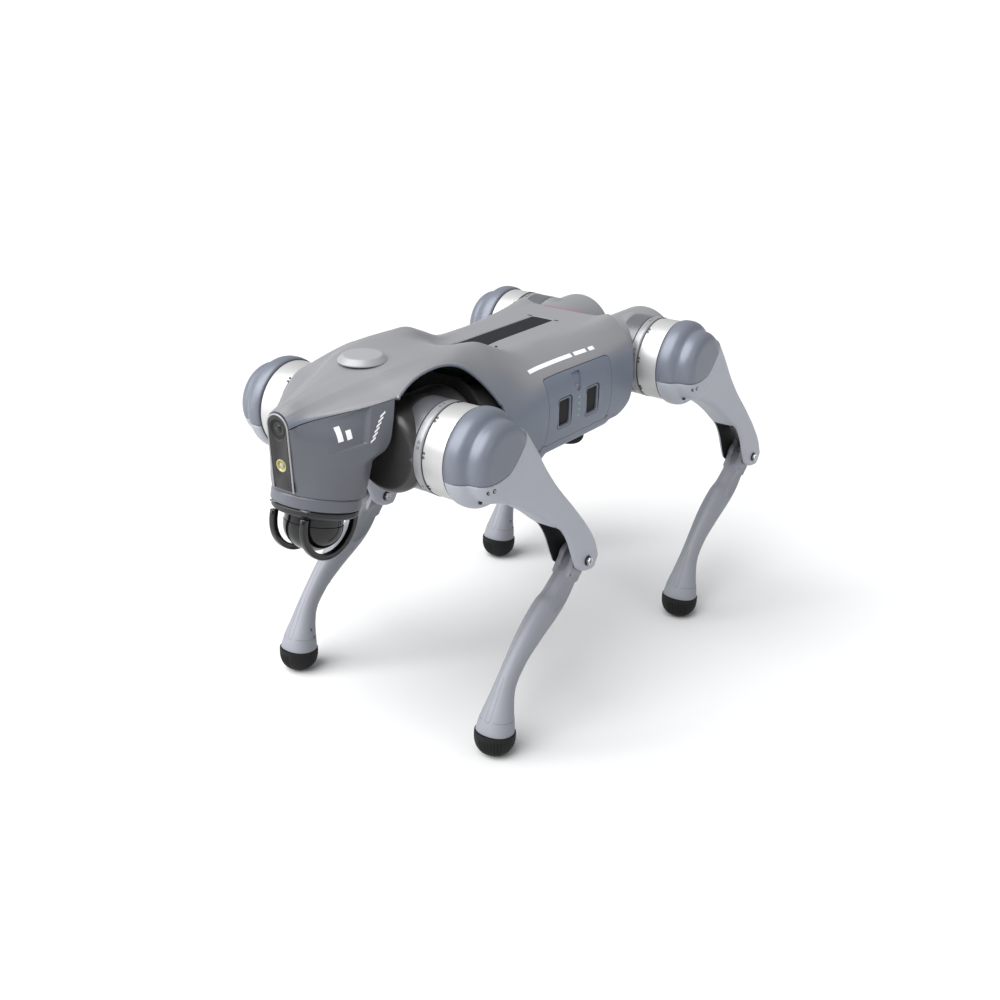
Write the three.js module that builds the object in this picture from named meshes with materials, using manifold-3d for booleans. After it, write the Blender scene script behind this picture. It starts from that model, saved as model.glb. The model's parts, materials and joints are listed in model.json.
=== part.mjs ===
// A quadruped robot, built as an assembly of separate solids. Millimetres, +X forward, +Y left,
// +Z up. The origin is on the ground under the middle of the standing robot's bounding box.
import * as THREE from "three";
import { mergeGeometries, mergeVertices } from "three/addons/utils/BufferGeometryUtils.js";
import Module from "manifold-3d";

const wasm = await Module();
wasm.setup();

// ---- Driving dimensions -------------------------------------------------------------------------
const LINK = 213; // thigh and calf, axis to axis
const THIGH_ANGLE = 43.37; // degrees the standing thigh leans back from straight down
const CALF_ANGLE = -39.94; // degrees the standing calf leans, negative is forward
const FOOT_R = 22;
const FOOT_UP = 10; // the ball of the foot, above the end of the calf's line
const HIP_X = 193.4; // thigh axis, ahead of and behind the trunk's middle
const HIP_Y = 46.5; // abduction axis, left and right of the trunk's middle
const LEG_Y = 142; // middle plane of thigh and calf
const TRUNK_X = 15.7; // trunk middle, ahead of the origin
const GAP = 0.3; // between touching pieces
const SIDES = 24; // facets of a large round

const rad = THREE.MathUtils.degToRad;
const TRUNK_Z =
  FOOT_R - FOOT_UP + LINK * (Math.cos(rad(THIGH_ANGLE)) + Math.cos(rad(CALF_ANGLE)));

// ---- Materials ----------------------------------------------------------------------------------
const paint = (name, color, roughness, metalness) =>
  new THREE.MeshStandardMaterial({ name, color, roughness, metalness });
const LIGHT_GREY = paint("light_grey", 0x9d9fa3, 0.45, 0.1);
const BLUE_GREY = paint("blue_grey", 0x6d727e, 0.4, 0.1);
const LEG_GREY = paint("leg_grey", 0xa3a5b0, 0.45, 0.1);
const SILVER = paint("silver", 0xd6d4d2, 0.3, 0.6);
const STEEL = paint("steel", 0xb0b2b5, 0.25, 1);
const DARK_METAL = paint("dark_metal", 0x3c3d42, 0.45, 0.6);
const BLACK_PLASTIC = paint("black_plastic", 0x17181a, 0.4, 0);
const RUBBER = paint("rubber", 0x141416, 0.9, 0);
const WEBBING = paint("webbing", 0x26272a, 0.95, 0);
const LENS = paint("lens", 0x0a0a10, 0.05, 0);
const LAMP = paint("lamp", 0xe8e4b0, 0.1, 0);
const BOARD = paint("board", 0x1f4a34, 0.6, 0);

// ---- Solids -------------------------------------------------------------------------------------
function signedVolume(geometry) {
  const position = geometry.attributes.position;
  const index = geometry.index;
  const [a, b, c] = [new THREE.Vector3(), new THREE.Vector3(), new THREE.Vector3()];
  let total = 0;
  for (let i = 0; i < index.count; i += 3) {
    a.fromBufferAttribute(position, index.getX(i));
    b.fromBufferAttribute(position, index.getX(i + 1));
    c.fromBufferAttribute(position, index.getX(i + 2));
    total += a.dot(b.cross(c));
  }
  return total;
}

// A closed mesh as a manifold solid, turned inside out where its faces point inwards.
function solid(geometry) {
  const bare = geometry.clone();
  bare.deleteAttribute("normal");
  bare.deleteAttribute("uv");
  const merged = mergeVertices(bare, 1e-4);
  const index = Uint32Array.from(merged.index.array);
  if (signedVolume(merged) < 0) {
    for (let i = 0; i < index.length; i += 3) {
      [index[i + 1], index[i + 2]] = [index[i + 2], index[i + 1]];
    }
  }
  const vertProperties = Float32Array.from(merged.attributes.position.array);
  const mesh = new wasm.Mesh({ numProp: 3, vertProperties, triVerts: index });
  mesh.merge();
  return new wasm.Manifold(mesh);
}

function geometryOf(body) {
  const mesh = body.getMesh();
  const geometry = new THREE.BufferGeometry();
  geometry.setAttribute("position", new THREE.BufferAttribute(mesh.vertProperties, 3));
  geometry.setIndex(new THREE.BufferAttribute(mesh.triVerts, 1));
  return geometry;
}

const cut = (body, ...tools) => tools.reduce((rest, tool) => rest.subtract(tool), body);
const join = (body, ...others) => others.reduce((sum, other) => sum.add(other), body);

function block([x0, x1], [y0, y1], [z0, z1]) {
  const geometry = new THREE.BoxGeometry(x1 - x0, y1 - y0, z1 - z0);
  geometry.translate((x0 + x1) / 2, (y0 + y1) / 2, (z0 + z1) / 2);
  return solid(geometry);
}

// A round of revolution: profile points are [radius, distance along the axis].
function turned(axis, profile, centre = [0, 0, 0], sides = SIDES) {
  const points = profile.map(([radius, along]) => new THREE.Vector2(radius, along));
  const geometry = new THREE.LatheGeometry(points, sides);
  if (axis === "x") geometry.rotateZ(-Math.PI / 2);
  if (axis === "z") geometry.rotateX(Math.PI / 2);
  geometry.translate(...centre);
  return solid(geometry);
}

const rod = (axis, radius, [from, to], centre = [0, 0, 0], sides = SIDES) =>
  turned(axis, [[0, from], [radius, from], [radius, to], [0, to]], centre, sides);

function ring(axis, inner, outer, [from, to], centre = [0, 0, 0], sides = SIDES) {
  const profile = [[inner, from], [outer, from], [outer, to], [inner, to], [inner, from]];
  return turned(axis, profile, centre, sides);
}

const shapeOf = (points) => new THREE.Shape(points.map(([a, b]) => new THREE.Vector2(a, b)));

// An outline in X and Z, given depth along Y.
function plate(shape, [y0, y1], curveSegments = 6) {
  const options = { depth: y1 - y0, bevelEnabled: false, steps: 1, curveSegments };
  const geometry = new THREE.ExtrudeGeometry(shape, options);
  geometry.rotateX(Math.PI / 2);
  geometry.translate(0, y1, 0);
  return solid(geometry);
}

// An outline in Y and Z, mirrored about the trunk's middle plane, given depth along X.
function bulkheadPlate(half, [x0, x1]) {
  const mirrored = half.slice().reverse().map(([y, z]) => [-y, z]);
  const options = { depth: x1 - x0, bevelEnabled: false, steps: 1 };
  const geometry = new THREE.ExtrudeGeometry(shapeOf([...half, ...mirrored]), options);
  geometry.rotateX(Math.PI / 2);
  geometry.rotateZ(Math.PI / 2);
  geometry.translate(x0, 0, 0);
  return solid(geometry);
}

function smoothOutline(points, closed, divisions) {
  const curve = new THREE.CatmullRomCurve3(
    points.map(([a, b]) => new THREE.Vector3(a, b, 0)), closed, "centripetal");
  return curve.getPoints(divisions).slice(0, closed ? -1 : undefined).map((p) => [p.x, p.y]);
}

// Rings of equal point count joined into a closed skin, with a flat cap on the first and last.
function loft(rings) {
  const count = rings[0].length;
  const vertices = rings.flat().flat();
  const index = [];
  for (let r = 0; r < rings.length - 1; r += 1) {
    for (let i = 0; i < count; i += 1) {
      const j = (i + 1) % count;
      const [a, b] = [r * count + i, r * count + j];
      index.push(a, b, b + count, a, b + count, a + count);
    }
  }
  const last = (rings.length - 1) * count;
  for (let i = 1; i < count - 1; i += 1) {
    index.push(0, i + 1, i, last, last + i, last + i + 1);
  }
  const geometry = new THREE.BufferGeometry();
  geometry.setAttribute("position", new THREE.Float32BufferAttribute(vertices, 3));
  geometry.setIndex(index);
  return solid(geometry);
}

// An open skin, given as rows of points, thickened inwards into a closed shell.
function shell(rows, thickness) {
  const [nu, nv] = [rows.length, rows[0].length];
  const at = (u, v) => new THREE.Vector3(...rows[u][v]);
  const inner = rows.map((row, u) => row.map((_, v) => {
    const du = at(Math.min(u + 1, nu - 1), v).sub(at(Math.max(u - 1, 0), v));
    const dv = at(u, Math.min(v + 1, nv - 1)).sub(at(u, Math.max(v - 1, 0)));
    return at(u, v).addScaledVector(du.cross(dv).normalize(), -thickness);
  }));
  const vertices = [...rows.flat(), ...inner.flat().map((p) => p.toArray())].flat();
  const index = [];
  const quad = (a, b, c, d) => index.push(a, b, c, a, c, d);
  const outerAt = (u, v) => u * nv + v;
  const innerAt = (u, v) => nu * nv + u * nv + v;
  for (let u = 0; u < nu - 1; u += 1) {
    for (let v = 0; v < nv - 1; v += 1) {
      quad(outerAt(u, v), outerAt(u + 1, v), outerAt(u + 1, v + 1), outerAt(u, v + 1));
      quad(innerAt(u, v), innerAt(u, v + 1), innerAt(u + 1, v + 1), innerAt(u + 1, v));
    }
    quad(outerAt(u, 0), innerAt(u, 0), innerAt(u + 1, 0), outerAt(u + 1, 0));
    quad(outerAt(u, nv - 1), outerAt(u + 1, nv - 1), innerAt(u + 1, nv - 1), innerAt(u, nv - 1));
  }
  for (let v = 0; v < nv - 1; v += 1) {
    quad(outerAt(0, v), outerAt(0, v + 1), innerAt(0, v + 1), innerAt(0, v));
    quad(outerAt(nu - 1, v), innerAt(nu - 1, v), innerAt(nu - 1, v + 1), outerAt(nu - 1, v + 1));
  }
  const geometry = new THREE.BufferGeometry();
  geometry.setAttribute("position", new THREE.Float32BufferAttribute(vertices, 3));
  geometry.setIndex(index);
  return solid(geometry);
}

function mirroredInY(body) {
  const geometry = geometryOf(body);
  geometry.scale(1, -1, 1);
  return solid(geometry);
}

function named(name, material, body) {
  const mesh = new THREE.Mesh(geometryOf(body), material);
  mesh.name = name;
  return mesh;
}

// ---- Trunk: everything here is relative to the trunk's middle -----------------------------------
const DECK_Z = 53.2;
const SHELL_T = 3;
const BULKHEAD = [124, 129]; // ahead of and behind the trunk's middle
const BODY_BOTTOM = -54.3;
const BELLY_BOTTOM = -72;
const SWEEP_R = 68; // clear of the hip drum as it swings about the abduction axis
const BARREL_R = 44; // hip housing about the abduction axis
const BARREL_INNER = 52; // hip housing, from the thigh axis towards the trunk's middle
const BARREL_OUTER = { front: 46, rear: 55 }; // and away from it
const MOTOR_R = 46.5; // hip drum about the thigh axis

// Half sections of the top shell. Each is [x, then y and z of eight points from the middle of the
// back, over the edge of the deck or shoulder, down the side to the lower edge].
const TOP_SECTIONS = [
  [-137, [[0, 53.2], [30, 53.2], [45, 54], [60, 58], [80, 42], [91.5, 26], [96.5, 2], [87, -54.3]]],
  [-110, [[0, 53.2], [30, 53.2], [46, 53.4], [60, 54], [80, 39], [91.5, 24], [96.5, 2], [87, -54.3]]],
  [-60, [[0, 53.2], [30, 53.2], [46, 53.2], [57, 51], [77.5, 37], [91, 22], [96.5, 1], [87, -54.3]]],
  [0, [[0, 53.2], [30, 53.2], [45, 53.2], [54, 50], [75, 36.5], [90, 21], [96.5, 0], [87, -54.3]]],
  [45, [[0, 53.2], [28, 53.2], [40, 55], [52, 54], [74, 39], [90, 21], [96.5, -1], [87, -54.3]]],
  [72, [[0, 54], [26, 57], [38, 64], [48, 66], [70, 48], [87, 20], [95, -4], [86, -54.3]]],
  [95, [[0, 62], [24, 66], [36, 73], [48, 75], [68, 56], [85, 24], [94, -4], [85, -54.3]]],
  [118, [[0, 71], [24, 73], [36, 76], [47, 76.7], [64, 63], [82, 30], [92, -4], [84, -54.3]]],
  [145, [[0, 75], [24, 76], [38, 77], [50, 76], [63, 68], [76, 45], [88, 8], [82, -50]]],
  [193, [[0, 77], [24, 77.5], [42, 77.5], [56, 76], [64, 72], [68, 60], [70, 50], [70, 40]]],
  [222, [[0, 75], [24, 75], [42, 74], [56, 71], [64, 66], [67, 60], [67, 57.5], [67, 56]]],
  [240, [[0, 72.5], [22, 72.5], [38, 71.5], [50, 68], [59, 63], [63, 59], [64, 58.5], [64, 57.7]]],
  [262, [[0, 69.5], [18, 69.5], [30, 68], [40, 64.5], [48, 60], [53, 57.5], [54, 55.2], [54, 54.2]]],
  [285, [[0, 65.5], [13, 65], [22, 63], [29, 60], [35, 56.5], [39, 53], [40, 51.5], [40, 50.4]]],
  [305, [[0, 61.5], [9, 61], [14, 59.5], [19, 57], [23, 53], [25.5, 49], [26.5, 48], [26.5, 46.8]]],
  [320, [[0, 58], [6, 57.5], [10, 56], [13, 53.5], [15.5, 49.5], [17, 46], [17.5, 44.8], [17.5, 43.6]]],
  [330, [[0, 55], [4, 54.5], [7, 53], [9.5, 51], [12, 48], [13.5, 45], [14, 43], [14, 41]]],
];

function topSkinRows() {
  return TOP_SECTIONS.map(([x, half]) => {
    const left = half.map(([y, z]) => [x, y, z]);
    const right = half.slice(1).reverse().map(([y, z]) => [x, -y, z]);
    return [...right, ...left];
  });
}

// The wheel-arch outline over a front hip, in X and Z.
const ARCH = [[100, -75], [100, 8], [112, 28], [132, 51], [155, 66], [176, 73], [196, 74.5],
  [214, 73], [226, 66.5], [234, 57], [238, 40], [238, -75]];

const SWEEP_CLEAR = 3;
const SWEEP_AHEAD = 22; // of the thigh axis, where the arch is open anyway
const hipSweep = (side) => join(
  rod("x", SWEEP_R, [HIP_X - MOTOR_R - SWEEP_CLEAR, HIP_X + SWEEP_AHEAD], [0, side * HIP_Y, 0]),
  rod("x", BARREL_R + SWEEP_CLEAR,
    [HIP_X - BARREL_INNER - SWEEP_CLEAR, HIP_X + BARREL_OUTER.front + 1], [0, side * HIP_Y, 0]));

const ARCH_REACH = [58, 130];
const UNDER_NECK = { x: [100, 240], y: [-120, 120], z: [-80, 40] }; // open between the front hips
const STRAP = { x: [-90.7, 66], halfWidth: 14.7, depth: 1.6 };
const ABOVE_DECK = DECK_Z + 6; // cutting tools reach this high
const FACE_CLEAR = 0.4; // around the face panel
const faceOpening = () => facePanelPrism(FACE_CLEAR, [-20, 20]);

function topShell() {
  const skin = shell(topSkinRows(), SHELL_T);
  const arch = plate(shapeOf(smoothOutline(ARCH, false, 26)), ARCH_REACH);
  const under = block(UNDER_NECK.x, UNDER_NECK.y, UNDER_NECK.z);
  const pocketX = [STRAP.x[0] - GAP, STRAP.x[1] + GAP];
  const pocketY = [-STRAP.halfWidth - GAP, STRAP.halfWidth + GAP];
  const pocket = block(pocketX, pocketY, [DECK_Z - STRAP.depth - GAP, ABOVE_DECK]);
  const bay = block([BATTERY.x[0] - BATTERY.clear, BATTERY.x[1] + BATTERY.clear], [70, 110],
    [BATTERY.z[0] - BATTERY.clear, BATTERY.z[1] + BATTERY.clear]);
  const puckSeat = rod("z", PUCK.base + GAP, [PUCK.bottomZ - GAP, PUCK.topZ + 10], [PUCK.x, 0, 0]);
  return cut(skin, arch, mirroredInY(arch), under, pocket, bay, hipSweep(1), hipSweep(-1),
    faceOpening(), puckSeat);
}

// The battery slides in from the left side of the trunk.
const BATTERY = { x: [-90, 33], y: [-70, 94.6], z: [-48, 27], chamfer: 4, clear: 0.5 };
const GRIP = { offset: 27, width: 22, height: 30, depth: 14, z: -14.5 };
const LATCH = { thickness: 5, clear: 0.5, sunk: 2 };
const BUTTON = { z: 6.5, radius: 4, bore: 4.4, boreDepth: 4, travel: 1.6, sunk: 0.4 };
const GRIPS_MIDDLE = -24.4; // halfway between the grips, where the button and charge lights are

function gripPocket(direction) {
  const middle = GRIPS_MIDDLE + direction * GRIP.offset;
  return block([middle - GRIP.width / 2, middle + GRIP.width / 2],
    [BATTERY.y[1] - GRIP.depth, BATTERY.y[1] + 1],
    [GRIP.z - GRIP.height / 2, GRIP.z + GRIP.height / 2]);
}

function batteryPack() {
  const [x0, x1] = BATTERY.x;
  const { chamfer } = BATTERY;
  const outline = [[x0 + chamfer, BATTERY.z[0]], [x1 - chamfer, BATTERY.z[0]],
    [x1, BATTERY.z[0] + chamfer], [x1, BATTERY.z[1] - chamfer], [x1 - chamfer, BATTERY.z[1]],
    [x0 + chamfer, BATTERY.z[1]], [x0, BATTERY.z[1] - chamfer], [x0, BATTERY.z[0] + chamfer]];
  const buttonBore = rod("y", BUTTON.bore, [BATTERY.y[1] - BUTTON.boreDepth, BATTERY.y[1] + 1],
    [GRIPS_MIDDLE, 0, BUTTON.z], 16);
  return cut(plate(shapeOf(outline), BATTERY.y), gripPocket(1), gripPocket(-1), buttonBore);
}

// The paddle on the outer wall of a grip, squeezed towards the middle of the pack.
function batteryLatch(direction) {
  const outer = GRIPS_MIDDLE + direction * (GRIP.offset + GRIP.width / 2 - LATCH.clear);
  const inner = outer - direction * LATCH.thickness;
  const halfHeight = GRIP.height / 2 - LATCH.clear;
  return block([Math.min(outer, inner), Math.max(outer, inner)],
    [BATTERY.y[1] - GRIP.depth + LATCH.clear, BATTERY.y[1] - LATCH.sunk],
    [GRIP.z - halfHeight, GRIP.z + halfHeight]);
}

function powerButton() {
  const inner = BATTERY.y[1] - BUTTON.boreDepth + BUTTON.travel;
  return rod("y", BUTTON.radius, [inner, BATTERY.y[1] - BUTTON.sunk],
    [GRIPS_MIDDLE, 0, BUTTON.z], 16);
}

const FLANGE_R = 20; // abduction motor output
const FLANGE_CLEAR = 2;
const FLOOR = { halfWidth: 80, z: [-54, -50] };
const RISER_BOTTOM = 45;
const NECK = { x: [120, 256], halfWidth: 18, z: [52, 62] };
const HEAD_PLATE = { x: [250.5, 256], halfWidth: 27, z: [-30, 57] };
const SHELF = { x: [255, 300], halfWidth: 22, z: [-30, -26] }; // carries the chin and scanner
const acrossMiddle = ({ halfWidth }) => [-halfWidth, halfWidth];

const BULKHEAD_HALF = [[80, -53], [87, -20], [88, 0], [77, 24], [66, 36], [48, 47]];

function trunkFrame() {
  const bulkhead = (front) => {
    const x = front > 0 ? BULKHEAD : [-BULKHEAD[1], -BULKHEAD[0]];
    const outline = bulkheadPlate(BULKHEAD_HALF, x);
    const hole = (side) => rod("x", FLANGE_R + FLANGE_CLEAR, [x[0] - 1, x[1] + 1],
      [0, side * HIP_Y, 0], 16);
    return cut(outline, hole(1), hole(-1));
  };
  const floor = block([-BULKHEAD[1], BULKHEAD[1]], acrossMiddle(FLOOR), FLOOR.z);
  const riser = block(BULKHEAD, acrossMiddle(NECK), [RISER_BOTTOM, NECK.z[1]]);
  const neck = block(NECK.x, acrossMiddle(NECK), NECK.z);
  const headPlate = block(HEAD_PLATE.x, acrossMiddle(HEAD_PLATE), HEAD_PLATE.z);
  const shelf = block(SHELF.x, acrossMiddle(SHELF), SHELF.z);
  return join(bulkhead(1), bulkhead(-1), floor, riser, neck, headPlate, shelf);
}

const BOARD_SIZE = { x: [-86, 88], halfWidth: 62, z: [31, 33] };
const SOLDERED = 0.1; // parts on the board sink into it by this, so they are one solid with it
const BOARD_PARTS = [
  { x: [20, 80], halfWidth: 30, top: 43 }, // cooler
  { x: [-80, -60], halfWidth: 45, top: 41 }, // connectors
  { x: [-40, 0], halfWidth: 20, top: 38 }, // processor
];

function mainBoard() {
  const board = block(BOARD_SIZE.x, acrossMiddle(BOARD_SIZE), BOARD_SIZE.z);
  const parts = BOARD_PARTS.map((piece) =>
    block(piece.x, acrossMiddle(piece), [BOARD_SIZE.z[1] - SOLDERED, piece.top]));
  return join(board, ...parts);
}

const BELLY_CORNER = 8;
const BELLY_HALVES = [[131, 84], [120, 72], [112, 62]]; // half length and width, from the top down

function bellyCover() {
  const z = [BODY_BOTTOM - GAP, BELLY_BOTTOM + BELLY_CORNER, BELLY_BOTTOM];
  const rings = BELLY_HALVES.map(([x, y], i) => {
    const [xIn, yIn] = [x - BELLY_CORNER, y - BELLY_CORNER];
    return [[-x, -yIn], [-xIn, -y], [xIn, -y], [x, -yIn], [x, yIn], [xIn, y], [-xIn, y], [-x, yIn]]
      .map(([px, py]) => [px, py, z[i]]);
  });
  return loft(rings);
}

const PAD_R = 17;
const PAD_X = 90;
const PAD_Y = 42;
const PAD_BOTTOM = -87;
const PAD_ROUND = 4;
const WEB_T = 3;

// The four rest pads under the belly are moulded as one rubber piece, joined by a flat web.
function bellyPads() {
  const web = block([-PAD_X, PAD_X], [-PAD_Y, PAD_Y], [BELLY_BOTTOM - WEB_T, BELLY_BOTTOM - GAP]);
  const profile = [[0, PAD_BOTTOM], [PAD_R - PAD_ROUND, PAD_BOTTOM], [PAD_R, PAD_BOTTOM + PAD_ROUND],
    [PAD_R, BELLY_BOTTOM - GAP], [0, BELLY_BOTTOM - GAP]];
  const pads = [[PAD_X, PAD_Y], [PAD_X, -PAD_Y], [-PAD_X, PAD_Y], [-PAD_X, -PAD_Y]]
    .map(([x, y]) => turned("z", profile, [x, y, 0], 16));
  return join(web, ...pads);
}

function carryStrap() {
  return block(STRAP.x, [-STRAP.halfWidth, STRAP.halfWidth], [DECK_Z - STRAP.depth, DECK_Z]);
}

const PUCK = { x: 214, base: 24.5, top: 18.6, bottomZ: 76.6, topZ: 82.4 };

function antennaPuck() {
  const profile = [[0, PUCK.bottomZ], [PUCK.base, PUCK.bottomZ], [PUCK.base - 1, PUCK.bottomZ + 1],
    [PUCK.top + 1.5, PUCK.topZ - 1], [PUCK.top, PUCK.topZ], [0, PUCK.topZ]];
  return turned("z", profile, [PUCK.x, 0, 0]);
}

// ---- Head ---------------------------------------------------------------------------------------
// Half outlines of the head's side skin seen from above, from the middle of the face round to the
// cheek's rear edge. Each is the height at the face, the drop to the rear edge, and [x, y] points.
const HEAD_SECTIONS = [
  { z: [-26, -41.6], points: [[325, 0], [324, 13], [318, 25], [307, 36], [292, 43], [276, 45],
    [262, 42]] },
  { z: [-18, -26], points: [[325.5, 0], [325, 13], [318, 26], [306, 38], [290, 45], [273, 47],
    [260, 45]] },
  { z: [-8, -8], points: [[327, 0], [326.5, 13], [317, 27], [304, 38.6], [287, 47.5], [272, 50.5],
    [259, 49]] },
  { z: [6, 9], points: [[328, 0], [327.5, 13], [317, 27], [302, 41], [281, 52.5], [265, 59],
    [253, 61]] },
  { z: [28, 34], points: [[329.5, 0], [329, 13.5], [318, 26], [301, 39.5], [278, 51.5], [260, 59.4],
    [245, 64.6]] },
  { z: [40, 57], bow: 0.8, points: [[330, 0], [329.5, 14], [320, 18], [304, 27], [284, 41], [262, 54],
    [241, 64]] },
];

function headSkinRows() {
  return HEAD_SECTIONS.map(({ z: [front, rear], bow = 1, points }) => {
    const [xFront, xRear] = [points[0][0], points.at(-1)[0]];
    const half = points.map(([x, y]) => {
      const share = (xFront - x) / (xFront - xRear);
      return [x, y, front + (rear - front) * share ** bow];
    });
    const right = half.slice(1).reverse().map(([x, y, z]) => [x, -y, z]);
    return [...right, ...half];
  });
}

const FACE = { bottom: [326.2, -22.6], top: [330.6, 52.5], halfWidth: 12.4, thickness: 3 };

// The face panel's outline is a slot with a round top, in the plane of the face.
function faceOutline(grow) {
  const lean = Math.hypot(FACE.top[0] - FACE.bottom[0], FACE.top[1] - FACE.bottom[1]);
  const half = FACE.halfWidth + grow;
  const shape = new THREE.Shape();
  shape.moveTo(-half, -grow);
  shape.lineTo(half, -grow);
  shape.lineTo(half, lean - FACE.halfWidth);
  shape.absarc(0, lean - FACE.halfWidth, half, 0, Math.PI, false);
  shape.lineTo(-half, -grow);
  return { shape, lean };
}

function alongFace(geometry) {
  const tilt = Math.atan2(FACE.top[0] - FACE.bottom[0], FACE.top[1] - FACE.bottom[1]);
  geometry.rotateX(Math.PI / 2);
  geometry.rotateZ(Math.PI / 2);
  geometry.rotateY(tilt);
  geometry.translate(FACE.bottom[0], 0, FACE.bottom[1]);
  return geometry;
}

function facePanelPrism(grow, [from, to]) {
  const { shape } = faceOutline(grow);
  const geometry = new THREE.ExtrudeGeometry(shape,
    { depth: to - from, bevelEnabled: false, curveSegments: 8 });
  geometry.translate(0, 0, from);
  return solid(alongFace(geometry));
}

const EYE = { up: 61.1, radius: 6 };
const HEADLIGHT = { up: 24.6, radius: 6 };

function faceRound(radius, [from, to], up, domed = 0) {
  const profile = [[0, from], [radius, from], [radius, to], [radius * 0.6, to + domed * 0.7],
    [0, to + domed]];
  const points = profile.map(([r, y]) => new THREE.Vector2(r, y));
  const geometry = new THREE.LatheGeometry(points, 20);
  geometry.rotateX(Math.PI / 2);
  geometry.translate(0, up, 0);
  return solid(alongFace(geometry));
}

const PANEL_DEPTH = [-1.5, 1.5];
const facePanel = () => cut(facePanelPrism(0, PANEL_DEPTH),
  faceRound(EYE.radius + GAP, [-5, 5], EYE.up), faceRound(HEADLIGHT.radius + GAP, [-5, 5], HEADLIGHT.up));
const cameraLens = () => faceRound(EYE.radius, PANEL_DEPTH, EYE.up, 1);
const headLamp = () => faceRound(HEADLIGHT.radius, PANEL_DEPTH, HEADLIGHT.up, 0.8);

const headShell = () => cut(shell(headSkinRows(), SHELL_T), faceOpening());

// ---- Chin and laser scanner, on an axis tipped forward ------------------------------------------
const SCANNER = { x: 282.8, z: -37.1, tip: 14 };

function tipped(body) {
  const geometry = geometryOf(body);
  geometry.rotateY(rad(-SCANNER.tip));
  geometry.translate(SCANNER.x, 0, SCANNER.z);
  return solid(geometry);
}

const CHIN = { inner: 33, outer: 44.2, height: [-12, 0] };
const BASE = { radius: 41, height: [-21, -12.3] };
const DOME = { radius: 28, neck: -21.4, shoulder: -34, bottom: -58 };
const GUARD = { y: 20, halfWidth: 38, inner: 31.8, legs: -27, width: 6.6 };

const chinRing = () => tipped(ring("z", CHIN.inner, CHIN.outer, CHIN.height));
const lidarBase = () => tipped(rod("z", BASE.radius, BASE.height));

function lidarRotor() {
  const steps = 5;
  const round = Array.from({ length: steps + 1 }, (_, i) => {
    const angle = (i / steps) * Math.PI / 2;
    const depth = DOME.shoulder - DOME.bottom;
    return [DOME.radius * Math.sin(angle), DOME.shoulder - depth * Math.cos(angle)];
  });
  return tipped(turned("z", [...round, [DOME.radius, DOME.neck], [0, DOME.neck]], [0, 0, 0], 24));
}

function lidarGuard(side) {
  const top = BASE.height[0] - GAP;
  const loop = new THREE.Shape();
  loop.moveTo(-GUARD.halfWidth, top);
  loop.lineTo(-GUARD.halfWidth, GUARD.legs);
  loop.absarc(0, GUARD.legs, GUARD.halfWidth, Math.PI, Math.PI * 2, false);
  loop.lineTo(GUARD.halfWidth, top);
  loop.lineTo(GUARD.inner, top);
  loop.lineTo(GUARD.inner, GUARD.legs);
  loop.absarc(0, GUARD.legs, GUARD.inner, 0, -Math.PI, true);
  loop.lineTo(-GUARD.inner, top);
  const middle = side * GUARD.y;
  return tipped(plate(loop, [middle - GUARD.width / 2, middle + GUARD.width / 2], 10));
}

// ---- Leg: x and z are relative to the hip, y to the trunk's middle. Left legs; right ones mirror -
const DRUM_END = 93.6;
const RING_R = 46.8;
const RING_Y = [DRUM_END + GAP, 120];
const FRAME_Y = [RING_Y[1] + GAP, 161]; // thigh frame's root, inner to outer face
const ARM_Y = [LEG_Y - 19, LEG_Y + 19];
const CRANK_R = 13; // crank and knee lever, axis to rod pin
const CRANK_ANGLE = 152; // degrees from straight down, through the rear, at rest
const PIN_R = 1.8;
const ROD_HOLE_R = 2.3;
const ROD_END_R = 4.2;
const ROD_HALF_T = 3.8;
const KNEE_PIN_R = 3.5;
const HEAD_R = 12.5; // calf's boss about the knee
const FORK_HALF = 13.6; // inside the thigh's fork
const FORK_TOP = 122; // where the fork opens, down from the thigh axis
const CALF_SLOT = 4.6; // half the rod's slot in the calf's boss
const CALF_SLOT_R = 22; // and how far it reaches from the knee
const BOSS_HALF = 11.6; // half the boss's length along the knee's axis
const CRANK_Y = [131, 137.2]; // crank's arm
const CRANK_HUB_R = 7.8;
const HUB_HOLE_R = 8.5;
const ABDUCTION_MOTOR = { near: 92, radius: 38 };

const alongThigh = (body) => {
  const geometry = geometryOf(body);
  geometry.rotateY(rad(THIGH_ANGLE));
  return solid(geometry);
};

const atKnee = (geometry) => {
  const angle = rad(THIGH_ANGLE);
  geometry.translate(-LINK * Math.sin(angle), 0, -LINK * Math.cos(angle));
  return geometry;
};

function alongCalf(body) {
  const geometry = geometryOf(body);
  geometry.rotateY(rad(CALF_ANGLE));
  return solid(atKnee(geometry));
}

function abductionMotor(end) {
  const [near, far] = [ABDUCTION_MOTOR.near, BULKHEAD[0] - GAP];
  const body = rod("x", ABDUCTION_MOTOR.radius, end > 0 ? [near, far] : [-far, -near], [0, HIP_Y, 0]);
  const flange = [far - 1, HIP_X - BARREL_INNER - GAP];
  return join(body, rod("x", FLANGE_R, end > 0 ? flange : [-flange[1], -flange[0]],
    [0, HIP_Y, 0], 16));
}

function hipHousing(end) {
  const [low, high] = end === "front" ? [-BARREL_INNER, BARREL_OUTER.front]
    : [-BARREL_OUTER.rear, BARREL_INNER];
  const barrel = turned("x", [[0, low], [BARREL_R - 4, low], [BARREL_R, low + 4],
    [BARREL_R, high - 4], [BARREL_R - 4, high], [0, high]], [0, HIP_Y, 0]);
  return join(barrel, turned("y", [[0, HIP_Y], [MOTOR_R - 1, HIP_Y], [MOTOR_R, HIP_Y + 4],
    [MOTOR_R, DRUM_END - 5], [MOTOR_R - 1.5, DRUM_END], [0, DRUM_END]]));
}

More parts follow.
